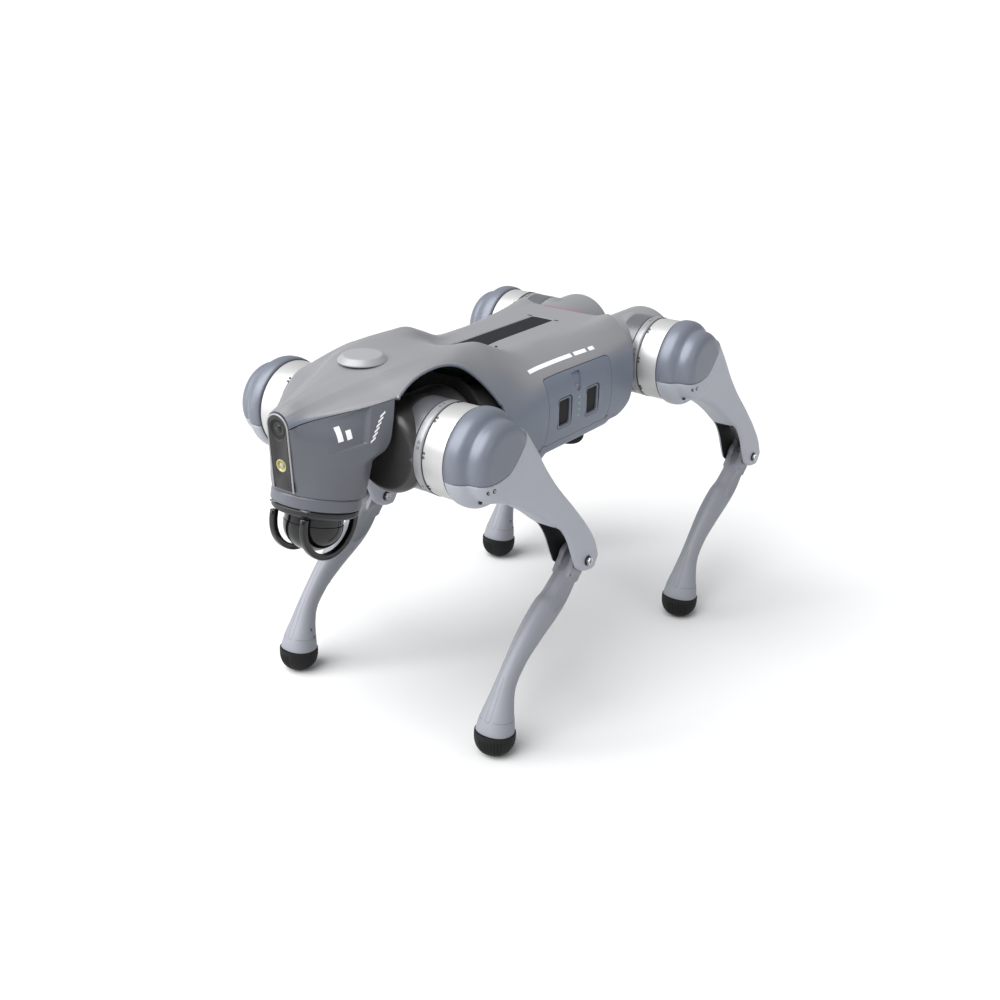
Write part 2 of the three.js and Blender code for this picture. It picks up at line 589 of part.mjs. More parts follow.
const kneeMotor = () => turned("y", [[0, RING_Y[0]], [RING_R - 1, RING_Y[0]],
  [RING_R, RING_Y[0] + 2], [RING_R, RING_Y[1]], [0, RING_Y[1]]]);

// The motor dome in two steps, shared by the cap and the root of the thigh frame.
const domeProfile = () => [[0, FRAME_Y[0]], [46.8, FRAME_Y[0]], [49.3, 125], [49.3, 132], [46.5, 139],
  [42, 142.5], [40.3, 145.5], [40.3, 149], [38.5, 154], [35, 158.5], [29, FRAME_Y[1]],
  [0, FRAME_Y[1]]];

// The side of the dome that the cap covers, in thigh coordinates: above and ahead of the arm.
const CAP_EDGE = [[60, -40], [60, -80], [-80, -80], [-80, 9], [-30, 10], [-11, 11], [3, 10], [14, 4],
  [37, -18]];
const capPrism = (grow) => {
  const points = CAP_EDGE.map(([x, down]) => [x, -down - grow]);
  return plate(shapeOf(points), [FRAME_Y[0] + 4 - grow, 200]);
};
const CRANK_POCKET = { radius: 20, y: [129.5, 150] };
const crankPocket = () => rod("y", CRANK_POCKET.radius, CRANK_POCKET.y, [0, 0, 0], 16);

// The channel that the rod works in, down the thigh.
const rodRun = () =>
  block([-19, -2.5], [LEG_Y - CALF_SLOT, LEG_Y + CALF_SLOT], [-160, 5]);

// Outer edge of the thigh arm, front side down and rear side back up, in thigh coordinates.
const ARM_FRONT = [[30, 26], [20, 56], [12, 92], [9.5, 120], [6, 146], [9, 166], [15, 186], [17.5, 203]];
const ARM_REAR = [[-18, 229], [-26, 212], [-29.5, 188], [-30.5, 150], [-31.5, 110], [-35, 70],
  [-41, 36], [-44, 10]];

function armOutline() {
  const front = smoothOutline(ARM_FRONT, false, 10);
  const rear = smoothOutline(ARM_REAR, false, 9);
  const knee = [[18, 213], [15, 224], [6, 231.5], [-6, 232.5]];
  const root = [[-30, -20], [20, -30], [40, -5]];
  return [...front, ...knee, ...rear, ...root].map(([x, down]) => [x, -down]);
}

function thighFrame() {
  const arm = plate(shapeOf(armOutline()), ARM_Y);
  const body = join(arm, turned("y", domeProfile()));
  const forkY = [LEG_Y - FORK_HALF, LEG_Y + FORK_HALF];
  const forkMouth = block([-4, 60], forkY, [-300, -FORK_TOP]);
  const fork = block([-20.5, 60], forkY, [-300, -150]);
  const forkEnd = block([-60, 60], forkY, [-300, -190]);
  const hub = rod("y", HUB_HOLE_R, [FRAME_Y[0] - 1, CRANK_Y[0]], [0, 0, 0], 12);
  const pinHole = rod("y", KNEE_PIN_R + GAP, [100, 200], [0, 0, -LINK], 12);
  const pocket = join(crankPocket(), rodRun());
  return alongThigh(cut(body, capPrism(GAP), forkMouth, fork, forkEnd, pocket, hub, pinHole));
}

function thighCap() {
  const dome = turned("y", domeProfile());
  const hollow = rod("y", 36, [100, 150], [0, 0, 0], 20);
  return alongThigh(cut(dome.intersect(capPrism(0)), hollow, rodRun()));
}

// An arm between two pin centres in X and Z, with round ends and any holes.
function link([ax, az], [bx, bz], endR, waistR, [y0, y1], holes) {
  const along = Math.atan2(bz - az, bx - ax);
  const length = Math.hypot(bx - ax, bz - az);
  const shape = new THREE.Shape();
  const meet = Math.asin(waistR / endR);
  shape.absarc(0, 0, endR, meet, Math.PI * 2 - meet, false);
  shape.absarc(length, 0, endR, Math.PI + meet, Math.PI * 3 - meet, false);
  for (const [distance, radius] of holes) {
    const hole = new THREE.Path();
    hole.absarc(distance * length, 0, radius, 0, Math.PI * 2, true);
    shape.holes.push(hole);
  }
  const geometry = geometryOf(plate(shape, [y0, y1], 5));
  geometry.rotateY(-along);
  geometry.translate(ax, 0, az);
  return solid(geometry);
}

const crankPin = () => {
  const angle = rad(CRANK_ANGLE);
  return [-CRANK_R * Math.sin(angle), -CRANK_R * Math.cos(angle)];
};

function kneeCrank() {
  const pin = crankPin();
  const arm = link([0, 0], pin, 5.2, 5, CRANK_Y, []);
  const hub = rod("y", CRANK_HUB_R, [FRAME_Y[0] + GAP, CRANK_Y[0] + 0.1], [0, 0, 0], 12);
  const stub = rod("y", PIN_R, [CRANK_Y[1] - 0.2, LEG_Y + 5], [pin[0], 0, pin[1]], 8);
  return join(arm, hub, stub);
}

function kneeRod() {
  const [x, z] = crankPin();
  const angle = rad(THIGH_ANGLE);
  const far = [x - LINK * Math.sin(angle), z - LINK * Math.cos(angle)];
  return link([x, z], far, ROD_END_R, 3, [LEG_Y - ROD_HALF_T, LEG_Y + ROD_HALF_T],
    [[0, ROD_HOLE_R], [1, ROD_HOLE_R]]);
}

function kneePin() {
  const half = FRAME_Y[1] - LEG_Y + GAP;
  const profile = [[0, -half - 3.2], [4.4, -half - 3.2], [4.8, -half], [KNEE_PIN_R, -half],
    [KNEE_PIN_R, half], [4.8, half], [4.4, half + 3.2], [0, half + 3.2]];
  return alongThigh(turned("y", profile, [0, LEG_Y, -LINK], 12));
}

// Calf sections: distance below the knee, centre line ahead of the knee-foot line, and half sizes
// fore-and-aft and sideways.
const CALF_SECTIONS = [
  { down: 14, ahead: -1, half: [13, 11.2] }, { down: 34, ahead: 1, half: [17.5, 11.8] },
  { down: 68, ahead: 10.5, half: [18.5, 13.2] }, { down: 98, ahead: 20.5, half: [15.5, 12.2] },
  { down: 130, ahead: 26, half: [12.2, 10] }, { down: 156, ahead: 25.5, half: [12, 11] },
  { down: 178, ahead: 18, half: [16, 15.4] }, { down: 190, ahead: 12.6, half: [19.4, 18.6] },
  { down: 200, ahead: 8.8, half: [20.8, 20.4] }, { down: 210, ahead: 4.5, half: [21.4, 21.2] },
  { down: 218, ahead: 0, half: [21.4, 21.2] },
];

function calfRing({ down, ahead, half: [a, b] }) {
  const count = 12;
  return Array.from({ length: count }, (_, i) => {
    const angle = (i / count) * Math.PI * 2;
    const [c, s] = [Math.cos(angle), Math.sin(angle)];
    const soft = (value) => Math.sign(value) * Math.abs(value) ** 0.85;
    return [ahead + a * soft(c), LEG_Y + b * soft(s), -down];
  });
}

// The ball of the foot in the standing leg, from the hip, and the joint of calf and boot, which is
// nearly level.
const FOOT = [LINK * (Math.sin(rad(-CALF_ANGLE)) - Math.sin(rad(THIGH_ANGLE))),
  FOOT_UP - LINK * (Math.cos(rad(THIGH_ANGLE)) + Math.cos(rad(CALF_ANGLE)))];
const BOOT_TOP = 4.5; // above the ball of the foot
const BOOT_TILT = 6.8; // degrees it rises forwards

function belowBootTop(offset) {
  const geometry = geometryOf(block([-60, 60], [-60, 60], [-90, BOOT_TOP + offset]));
  geometry.rotateY(rad(-BOOT_TILT));
  geometry.translate(FOOT[0], LEG_Y, FOOT[1]);
  return solid(geometry);
}

function calf() {
  const shank = loft(CALF_SECTIONS.map(calfRing));
  const bossY = [LEG_Y - BOSS_HALF, LEG_Y + BOSS_HALF];
  const boss = rod("y", HEAD_R, bossY, [0, 0, 0], 16);
  const neck = block([-HEAD_R, HEAD_R - 1], [LEG_Y - 11.2, LEG_Y + 11.2], [-24, 0]);
  const [px, pz] = crankPin();
  const turn = rad(-CALF_ANGLE);
  const lever = [px * Math.cos(turn) + pz * Math.sin(turn), -px * Math.sin(turn) + pz * Math.cos(turn)];
  const ear = link([0, 0], lever, 5, 4.8, bossY, []);
  const slot = rod("y", CALF_SLOT_R, [LEG_Y - CALF_SLOT, LEG_Y + CALF_SLOT], [0, 0, 0], 16);
  const pinHole = rod("y", KNEE_PIN_R + GAP, [100, 200], [0, 0, 0], 12);
  const slotted = cut(join(shank, boss, neck, ear), slot, pinHole);
  const leverPin = rod("y", PIN_R, [LEG_Y - 6, LEG_Y + 6], [lever[0], 0, lever[1]], 8);
  return cut(alongCalf(join(slotted, leverPin)), belowBootTop(0));
}

// The boot's rings, above the ball of the foot, and their radii.
const BOOT_RINGS = [9, 4.5, 0, -7, -13, -18, -21, -22].map((up) =>
  ({ up, radius: Math.max(Math.sqrt(FOOT_R ** 2 - up ** 2), 2) }));

function foot() {
  const [x, z] = FOOT;
  const rings = BOOT_RINGS.map(({ up, radius }) => Array.from({ length: 16 }, (_, i) => {
    const angle = (i / 16) * Math.PI * 2;
    return [x + radius * Math.cos(angle), LEG_Y + radius * Math.sin(angle), z + up];
  }));
  return loft(rings).intersect(belowBootTop(-GAP));
}

// ---- Assembly -----------------------------------------------------------------------------------
const part = new THREE.Group();
const trunk = new THREE.Group();
trunk.position.set(TRUNK_X, 0, TRUNK_Z);
part.add(trunk);

trunk.add(
  named("trunk_frame", DARK_METAL, trunkFrame()),
  named("top_shell", LIGHT_GREY, topShell()),
  named("belly_cover", BLUE_GREY, bellyCover()),
  named("belly_pads", RUBBER, bellyPads()),
  named("main_board", BOARD, mainBoard()),
  named("antenna_puck", LIGHT_GREY, antennaPuck()),
  named("carry_strap", WEBBING, carryStrap()),
  named("battery_pack", BLUE_GREY, batteryPack()),
  named("battery_latch_front", BLACK_PLASTIC, batteryLatch(1)),
  named("battery_latch_rear", BLACK_PLASTIC, batteryLatch(-1)),
  named("power_button", LIGHT_GREY, powerButton()),
  named("head_shell", BLUE_GREY, headShell()),
  named("face_panel", BLACK_PLASTIC, facePanel()),
  named("camera_lens", LENS, cameraLens()),
  named("head_lamp", LAMP, headLamp()),
  named("chin_ring", LIGHT_GREY, chinRing()),
  named("lidar_base", BLACK_PLASTIC, lidarBase()),
  named("lidar_rotor", BLACK_PLASTIC, lidarRotor()),
  named("lidar_guard_left", BLACK_PLASTIC, lidarGuard(1)),
  named("lidar_guard_right", BLACK_PLASTIC, lidarGuard(-1)),
);

const LEG_PIECES = [
  ["knee_motor", SILVER, kneeMotor()],
  ["thigh_cap", BLUE_GREY, thighCap()],
  ["thigh_frame", LEG_GREY, thighFrame()],
  ["knee_crank", DARK_METAL, kneeCrank()],
  ["knee_rod", STEEL, kneeRod()],
  ["knee_pin", STEEL, kneePin()],
  ["calf", LEG_GREY, calf()],
  ["foot", RUBBER, foot()],
];

for (const [end, direction] of [["front", 1], ["rear", -1]]) {
  for (const side of ["left", "right"]) {
    const hand = (body) => (side === "left" ? body : mirroredInY(body));
    const leg = new THREE.Group();
    leg.position.set(direction * HIP_X, 0, 0);
    leg.add(named(`hip_housing_${end}_${side}`, LEG_GREY, hand(hipHousing(end))));
    for (const [name, material, body] of LEG_PIECES) {
      leg.add(named(`${name}_${end}_${side}`, material, hand(body)));
    }
    trunk.add(leg, named(`hip_motor_${end}_${side}`, DARK_METAL, hand(abductionMotor(direction))));
  }
}

export default part;
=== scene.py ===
"""The looks of a four-legged walking robot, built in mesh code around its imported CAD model.

Shapes are made in millimetres from the trunk's middle (trunk pieces) or from a left hip (leg pieces),
+X forward, +Y to the robot's left, +Z up, and put in their place in metres at the end.
"""

import json
import math

import bmesh
import bpy
import numpy as np
from mathutils import Matrix, Vector
from mathutils.bvhtree import BVHTree


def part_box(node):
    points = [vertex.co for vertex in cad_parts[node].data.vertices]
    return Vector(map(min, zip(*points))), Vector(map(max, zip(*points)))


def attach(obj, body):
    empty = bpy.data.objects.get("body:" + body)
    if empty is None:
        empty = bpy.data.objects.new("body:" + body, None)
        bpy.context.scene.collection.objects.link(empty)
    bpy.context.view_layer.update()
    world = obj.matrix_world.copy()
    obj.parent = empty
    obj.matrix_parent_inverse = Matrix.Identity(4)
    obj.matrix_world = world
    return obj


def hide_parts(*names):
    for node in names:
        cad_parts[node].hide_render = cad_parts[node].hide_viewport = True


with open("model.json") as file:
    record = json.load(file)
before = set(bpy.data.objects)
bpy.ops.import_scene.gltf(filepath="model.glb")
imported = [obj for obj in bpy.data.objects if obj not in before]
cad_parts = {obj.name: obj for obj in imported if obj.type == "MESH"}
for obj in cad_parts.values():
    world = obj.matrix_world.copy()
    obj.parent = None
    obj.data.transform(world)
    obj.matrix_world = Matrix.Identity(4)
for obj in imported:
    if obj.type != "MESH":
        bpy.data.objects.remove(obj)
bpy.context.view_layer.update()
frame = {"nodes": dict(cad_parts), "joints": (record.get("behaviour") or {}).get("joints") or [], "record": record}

# ---- Driving dimensions, from the frame ----------------------------------------------------------
MM = 0.001
JOINTS = {joint["name"]: joint for joint in frame["joints"]}


def joint_at(name):
    return Vector(JOINTS[name]["pos_m"])


FRONT_HIP = joint_at("hip_swing_front_left")
REAR_HIP = joint_at("hip_swing_rear_left")
TRUNK = Vector(((FRONT_HIP.x + REAR_HIP.x) / 2, 0, FRONT_HIP.z))
HIP_X = (FRONT_HIP.x - REAR_HIP.x) / 2 / MM
HIP_Y = FRONT_HIP.y / MM
THIGH_AXIS = joint_at("thigh_swing_front_left")
KNEE_AXIS = joint_at("knee_front_left")
LEG_Y = THIGH_AXIS.y / MM
LINK = (THIGH_AXIS - KNEE_AXIS).length / MM
THIGH_LEAN = math.atan2(THIGH_AXIS.x - KNEE_AXIS.x, THIGH_AXIS.z - KNEE_AXIS.z)
FOOT_R = 22
FOOT_UP = 10  # the ball of the foot, above the end of the calf's line
CALF_LEAN = -math.acos((KNEE_AXIS.z / MM - FOOT_R + FOOT_UP) / LINK)
KNEE = np.array((-LINK * math.sin(THIGH_LEAN), 0, -LINK * math.cos(THIGH_LEAN)))
FOOT = KNEE + (-LINK * math.sin(CALF_LEAN), 0, FOOT_UP - LINK * math.cos(CALF_LEAN))
ENDS = {"front": 1, "rear": -1}
SIDES = {"left": 1, "right": -1}
UP, DOWN = (0, 0, 1), (0, 0, -1)
LEFT, RIGHT = (0, 1, 0), (0, -1, 0)


def node_box(node):
    """A trunk node's box in millimetres from the trunk's middle."""
    low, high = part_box(node)
    return (low - TRUNK) / MM, (high - TRUNK) / MM


# ---- Materials -----------------------------------------------------------------------------------
def node_of(tree, kind, **settings):
    node = tree.nodes.new(kind)
    for key, value in settings.items():
        if hasattr(node, key):
            setattr(node, key, value)
        else:
            node.inputs[key.replace("_", " ")].default_value = value
    return node


def new_material(name):
    material = bpy.data.materials.new(name)
    material.use_nodes = True
    tree = material.node_tree
    place = tree.nodes.new("ShaderNodeTexCoord")
    return material, tree, tree.nodes["Principled BSDF"], place.outputs["Object"]


def noise(tree, vector, scale, detail):
    node = node_of(tree, "ShaderNodeTexNoise", Scale=scale, Detail=detail)
    tree.links.new(vector, node.inputs["Vector"])
    return node.outputs["Fac"]


def tint(tree, shader, factor, first, second):
    """Base colour from the first colour to the second, by a factor from 0 to 1."""
    node = node_of(tree, "ShaderNodeMix", data_type="RGBA")
    node.inputs[6].default_value = (*first, 1)
    node.inputs[7].default_value = (*second, 1)
    tree.links.new(factor, node.inputs[0])
    tree.links.new(node.outputs[2], shader.inputs["Base Color"])


def sheen(tree, shader, factor, low, high):
    """Roughness from low to high, by a factor from 0 to 1."""
    node = node_of(tree, "ShaderNodeMapRange", To_Min=low, To_Max=high)
    tree.links.new(factor, node.inputs["Value"])
    tree.links.new(node.outputs["Result"], shader.inputs["Roughness"])


def bump(tree, shader, height, strength, distance):
    node = node_of(tree, "ShaderNodeBump", Strength=strength, Distance=distance)
    tree.links.new(height, node.inputs["Height"])
    tree.links.new(node.outputs["Normal"], shader.inputs["Normal"])


def constants(shader, **settings):
    for key, value in settings.items():
        shader.inputs[key.replace("_", " ")].default_value = value


def scaled(colour, factor):
    return tuple(min(1, channel * factor) for channel in colour)


def paint_skin(tree, shader, place, roughness, metallic):
    """What every paint has: a slightly patchy sheen and a fine orange-peel grain."""
    sheen(tree, shader, noise(tree, place, 55, 5), roughness - 0.04, roughness + 0.05)
    constants(shader, Metallic=metallic)
    bump(tree, shader, noise(tree, place, 2600, 2), 0.25, 0.00004)


def satin(name, colour, roughness=0.42, metallic=0.0):
    """Satin paint, slightly cloudy in colour."""
    material, tree, shader, place = new_material(name)
    tint(tree, shader, noise(tree, place, 14, 4), scaled(colour, 0.96), scaled(colour, 1.04))
    paint_skin(tree, shader, place, roughness, metallic)
    return material


def facing_shade_paint(name, above, beside):
    """Satin paint with painted light and shade: lighter on faces that look up, and a darker painted blue-grey
    shade on faces that look sideways.
    """
    material, tree, shader, place = new_material(name)
    facing = tree.nodes.new("ShaderNodeNewGeometry")
    split = tree.nodes.new("ShaderNodeSeparateXYZ")
    tree.links.new(facing.outputs["Normal"], split.inputs["Vector"])
    upward = node_of(tree, "ShaderNodeMapRange", interpolation_type="SMOOTHSTEP",
                     From_Min=0.18, From_Max=0.72)
    tree.links.new(split.outputs["Z"], upward.inputs["Value"])
    tint(tree, shader, upward.outputs["Result"], beside, above)
    paint_skin(tree, shader, place, 0.4, 0.15)
    return material


def brushed(name, colour, roughness, metallic=1.0):
    """Metal turned about the Y axis, with fine tool lines."""
    material, tree, shader, place = new_material(name)
    stretch = tree.nodes.new("ShaderNodeMapping")
    stretch.inputs["Scale"].default_value = (14, 2400, 14)
    tree.links.new(place, stretch.inputs["Vector"])
    lines = noise(tree, stretch.outputs["Vector"], 1, 3)
    tint(tree, shader, lines, scaled(colour, 0.93), scaled(colour, 1.05))
    sheen(tree, shader, lines, roughness - 0.06, roughness + 0.08)
    constants(shader, Metallic=metallic)
    bump(tree, shader, lines, 0.12, 0.00003)
    return material


def rubber(name, colour):
    """Dusty moulded rubber."""
    material, tree, shader, place = new_material(name)
    dust = noise(tree, place, 40, 6)
    tint(tree, shader, dust, colour, scaled(colour, 1.7))
    sheen(tree, shader, dust, 0.6, 0.78)
    constants(shader, Specular_IOR_Level=0.2)
    bump(tree, shader, noise(tree, place, 1500, 4), 0.5, 0.00008)
    return material


def webbing(name, colour):
    """Woven strap: two crossed sets of threads."""
    material, tree, shader, place = new_material(name)
    warp = node_of(tree, "ShaderNodeTexWave", bands_direction="Y", Scale=240.0, Distortion=0.6)
    weft = node_of(tree, "ShaderNodeTexWave", bands_direction="X", Scale=320.0, Distortion=0.6)
    crossed = node_of(tree, "ShaderNodeMath", operation="MULTIPLY")
    for wave, threads in zip((warp, weft), crossed.inputs):
        tree.links.new(place, wave.inputs["Vector"])
        tree.links.new(wave.outputs["Fac"], threads)
    tint(tree, shader, crossed.outputs["Value"], colour, scaled(colour, 1.9))
    constants(shader, Roughness=0.85, Specular_IOR_Level=0.15)
    bump(tree, shader, crossed.outputs["Value"], 0.6, 0.0003)
    return material


def glass(name, colour, roughness=0.04, coat=1.0):
    """Smooth coated surface with faint smears."""
    material, tree, shader, place = new_material(name)
    smear = noise(tree, place, 90, 4)
    sheen(tree, shader, smear, roughness, roughness + 0.05)
    tint(tree, shader, smear, colour, scaled(colour, 1.15))
    constants(shader, Coat_Weight=coat, Coat_Roughness=0.02, Specular_IOR_Level=0.3)
    return material


def glowing(name, colour, strength):
    material, tree, shader, place = new_material(name)
    tint(tree, shader, noise(tree, place, 300, 2), colour, scaled(colour, 0.8))
    constants(shader, Emission_Color=(*colour, 1), Emission_Strength=strength)
    return material


# The shell's one paint as lit from above, and the same paint with painted shade for faces that look sideways.
TOP_LIT_PAINT = (0.235, 0.235, 0.245)
SIDE_SHADE_PAINT = (0.145, 0.166, 0.21)
CAP_PAINT = (0.142, 0.155, 0.19)
LEG_PAINT = (0.335, 0.348, 0.388)

SHELL = facing_shade_paint("satin_shell_facing_shade", TOP_LIT_PAINT, SIDE_SHADE_PAINT)
LIGHT_GREY = satin("satin_light_grey", scaled(TOP_LIT_PAINT, 1.25), 0.4, 0.1)
BLUE_GREY = satin("satin_blue_grey", (0.102, 0.108, 0.126), 0.4, 0.15)
# The battery door, its grip frames and button, and the belly tray take the sideways painted-shade tone as their
# flat colour.
DOOR_GREY = satin("satin_door_grey", SIDE_SHADE_PAINT, 0.42, 0.15)
CAP_GREY = satin("satin_cap_grey", CAP_PAINT, 0.38, 0.2)
LEG_GREY = satin("satin_leg_grey", LEG_PAINT, 0.45, 0.1)
# The calf's paint is the leg paint darkened as painted shade, for a calf that faces away from the top and back
# light.
CALF_SHADE_GREY = satin("satin_calf_shade_grey", scaled(LEG_PAINT, 0.68), 0.5, 0.05)
HOUSING = satin("satin_housing", (0.13, 0.135, 0.15), 0.3, 0.4)
LIP_GREY = satin("satin_lip_grey", (0.27, 0.275, 0.29), 0.34, 0.35)
LINE_GREY = satin("moulded_line", (0.13, 0.135, 0.15), 0.6)
CHARCOAL = satin("charcoal_paint", (0.045, 0.043, 0.043), 0.34, 0.5)
SILVER = brushed("turned_aluminium", (0.50, 0.497, 0.495), 0.4, 0.5)
STEEL = brushed("machined_steel", (0.5, 0.5, 0.51), 0.26)
DARK_METAL = satin("black_anodised", (0.02, 0.02, 0.023), 0.45, 0.5)
BLACK = satin("black_plastic", (0.010, 0.010, 0.011), 0.42)
# Shadow black: painted shade for the shell's inside and the fork's insides, and the lens well's own black.
DEEP_BLACK = satin("shadow_black", (0.004, 0.004, 0.004), 0.8)
GLOSS_BLACK = glass("gloss_black", (0.004, 0.004, 0.005), 0.12, 0.25)
PANEL_BLACK = satin("panel_black", (0.006, 0.006, 0.007), 0.36)
LENS = glass("lens_coating", (0.002, 0.002, 0.004), 0.02, 0.3)
LAMP = glass("lamp_reflector", (0.34, 0.31, 0.12), 0.2)
LAMP_GLASS = glass("lamp_lens", (0.30, 0.30, 0.22), 0.05, 0.6)
RUBBER = rubber("boot_rubber", (0.007, 0.007, 0.0075))
WEBBING = webbing("woven_webbing", (0.014, 0.014, 0.016))
BOARD = satin("solder_mask", (0.012, 0.06, 0.03), 0.5)
SEAM = satin("seam_shadow", (0.028, 0.03, 0.036), 0.7)
WHITE_PRINT = satin("white_print", (0.78, 0.79, 0.80), 0.5)
RED_LINE = satin("red_line", (0.22, 0.008, 0.008), 0.5)
CHARGE_LIGHT = glowing("charge_light", (0.10, 0.55, 0.22), 0.6)


# ---- Curves and surfaces -------------------------------------------------------------------------
def spline(knots, at, where, crisp=None):
    """Smooth curve through the knots, which lie at the parameters `at`, read at `where`. `crisp` is
    how much of a corner each knot makes, from 0 to 1."""
    knots, at, where = (np.asarray(values, float) for values in (knots, at, where))
    shape = (-1,) + (1,) * (knots.ndim - 1)
    steps = np.diff(knots, axis=0) / np.diff(at).reshape(shape)
    slopes = np.gradient(knots, at, axis=0)
    before = np.concatenate([steps[:1], steps])
    after = np.concatenate([steps, steps[-1:]])
    if crisp is None:
        crisp = np.zeros(knots.shape[:-1] if knots.ndim > 1 else knots.shape)
    weight = np.asarray(crisp, float)[..., None] if knots.ndim > 1 else crisp
    before = slopes + (before - slopes) * weight
    after = slopes + (after - slopes) * weight
    cell = np.clip(np.searchsorted(at, where, side="right") - 1, 0, len(at) - 2)
    width = at[cell + 1] - at[cell]
    t = (where - at[cell]) / width
    t, width = t.reshape(shape), width.reshape(shape)
    a, b, sa, sb = knots[cell], knots[cell + 1], after[cell], before[cell + 1]
    return ((2 * t**3 - 3 * t**2 + 1) * a + (t**3 - 2 * t**2 + t) * width * sa
            + (3 * t**2 - 2 * t**3) * b + (t**3 - t**2) * width * sb)


def chord(points):
    """Distance along a polyline at each of its points."""
    steps = np.linalg.norm(np.diff(np.asarray(points, float), axis=0), axis=1)
    return np.concatenate([[0], np.cumsum(steps)])


def smooth_path(points, count, closed=False):
    points = np.asarray(points, float)
    if closed:
        points = np.vstack([points[-2:], points, points[:3]])
        at = chord(points)
        return spline(points, at, np.linspace(at[2], at[-3], count, endpoint=False))
    at = chord(points)
    return spline(points, at, np.linspace(0, at[-1], count))


def smoothed_grid(rows, row_at, rows_out, columns_out, crisp=None):
    """A finer grid of points through a coarse one. Rows keep their order, columns their meaning.
    `crisp` gives each coarse point its corner across the rows."""
    rows = np.asarray(rows, float)
    steps = np.linalg.norm(np.diff(rows, axis=1), axis=2).mean(axis=0)
    column_at = np.concatenate([[0], np.cumsum(steps)])
    corners = None if crisp is None else np.asarray(crisp, float).T
    columns = spline(rows.transpose(1, 0, 2), column_at,
                     np.linspace(0, column_at[-1], columns_out), corners).transpose(1, 0, 2)
    return spline(columns, row_at, np.linspace(row_at[0], row_at[-1], rows_out))


def grid_faces(rows, columns, wrap=False):
    faces = []
    for r in range(rows - 1):
        for c in range(columns if wrap else columns - 1):
            d = (c + 1) % columns
            faces.append((r * columns + c, r * columns + d,
                          (r + 1) * columns + d, (r + 1) * columns + c))
    return faces


def surface(grid):
    rows, columns = grid.shape[:2]
    return grid.reshape(-1, 3), grid_faces(rows, columns)


def loft(rings):
    """Closed skin through rings of equal point count, capped at both ends."""
    rings = np.asarray(rings, float)
    rows, columns = rings.shape[:2]
    faces = grid_faces(rows, columns, wrap=True)
    faces.append(tuple(range(columns))[::-1])
    faces.append(tuple(range((rows - 1) * columns, rows * columns)))
    return rings.reshape(-1, 3), faces


def turned(axis, profile, centre=(0, 0, 0), sides=72):
    """Round of revolution. The profile is (radius, distance along the axis), closed if it comes back."""
    profile = [tuple(map(float, point)) for point in profile]
    closed = profile[0] == profile[-1]
    if closed:
        profile = profile[:-1]
    points, rings = [], []
    angles = np.arange(sides) / sides * 2 * math.pi
    for radius, along in profile:
        if radius < 1e-6:
            rings.append([len(points)])
            points.append((0, 0, along))
        else:
            rings.append(list(range(len(points), len(points) + sides)))
            points += [(radius * math.cos(a), radius * math.sin(a), along) for a in angles]
    faces = []
    pairs = list(zip(rings, rings[1:]))
    if closed:
        pairs.append((rings[-1], rings[0]))
    for lower, upper in pairs:
        for i in range(sides):
            j = (i + 1) % sides
            corners = [lower[i % len(lower)], lower[j % len(lower)],
                       upper[j % len(upper)], upper[i % len(upper)]]
            unique = list(dict.fromkeys(corners))
            if len(unique) > 2:
                faces.append(tuple(unique))
    points = np.array(points, float)
    order = {"x": (2, 0, 1), "y": (1, 2, 0), "z": (0, 1, 2)}[axis]
    return points[:, order] + np.asarray(centre, float), faces


def disc(radius, low, high, centre=(0, 0, 0), sides=72, axis="y"):
    """A plain round bar from low to high along its axis."""
    return turned(axis, [(0, low), (radius, low), (radius, high), (0, high)], centre, sides)


def rounded(profile, radius, steps=4):
    """An open profile with its inner corners rounded."""
    profile = [np.asarray(point, float) for point in profile]
    out = [profile[0]]
    for before, corner, after in zip(profile, profile[1:], profile[2:]):
        to_before, to_after = before - corner, after - corner
        reach = min(radius, np.linalg.norm(to_before) * 0.45, np.linalg.norm(to_after) * 0.45)
        start = corner + to_before / np.linalg.norm(to_before) * reach
        end = corner + to_after / np.linalg.norm(to_after) * reach
        for i in range(steps + 1):
            t = i / steps
            out.append((1 - t) ** 2 * start + 2 * t * (1 - t) * corner + t**2 * end)
    out.append(profile[-1])
    return out


def rounded_loop(outline, radius, steps=5):
    """A closed outline with every corner rounded."""
    outline = [tuple(point) for point in outline]
    looped = [outline[-1], *outline, outline[0]]
    return rounded(looped, radius, steps)[1:-1]


def prism(outline, depth, axis="y"):
    """A closed outline given depth. For axis y the outline is (x, z), for x (y, z), for z (x, y)."""
    low, high = depth
    count = len(outline)
    spread = {"y": lambda a, b, c: (a, c, b), "x": lambda a, b, c: (c, a, b),
              "z": lambda a, b, c: (a, b, c)}[axis]
    points = [spread(a, b, level) for level in (low, high) for a, b in outline]
    faces = [tuple(range(count)), tuple(range(count, 2 * count))[::-1]]
    faces += [(i, i + count, (i + 1) % count + count, (i + 1) % count) for i in range(count)]
    return np.array(points, float), faces


def block(x, y, z):
    return prism([(x[0], z[0]), (x[1], z[0]), (x[1], z[1]), (x[0], z[1])], y)


def moved(shape, offset):
    return shape[0] + np.asarray(offset, float), shape[1]


def merged(*shapes):
    points, faces, base = [], [], 0
    for shape_points, shape_faces in shapes:
        points.append(np.asarray(shape_points, float))
        faces += [tuple(base + i for i in face) for face in shape_faces]
        base += len(shape_points)
    return np.vstack(points), faces


def mirrored(shape):
    return shape[0] * (1, -1, 1), [tuple(face)[::-1] for face in shape[1]]


def turn_y(points, angle):
    c, s = math.cos(angle), math.sin(angle)
    x, y, z = np.asarray(points, float).T
    return np.stack([x * c + z * s, y, z * c - x * s], axis=1)


def along_thigh(shape):
    return turn_y(shape[0], THIGH_LEAN), shape[1]


def calf_points(points):
    """Points in the calf's own axes, from the knee, as seen from the hip."""
    return turn_y(points, CALF_LEAN) + KNEE


def along_calf(shape):
    return calf_points(shape[0]), shape[1]


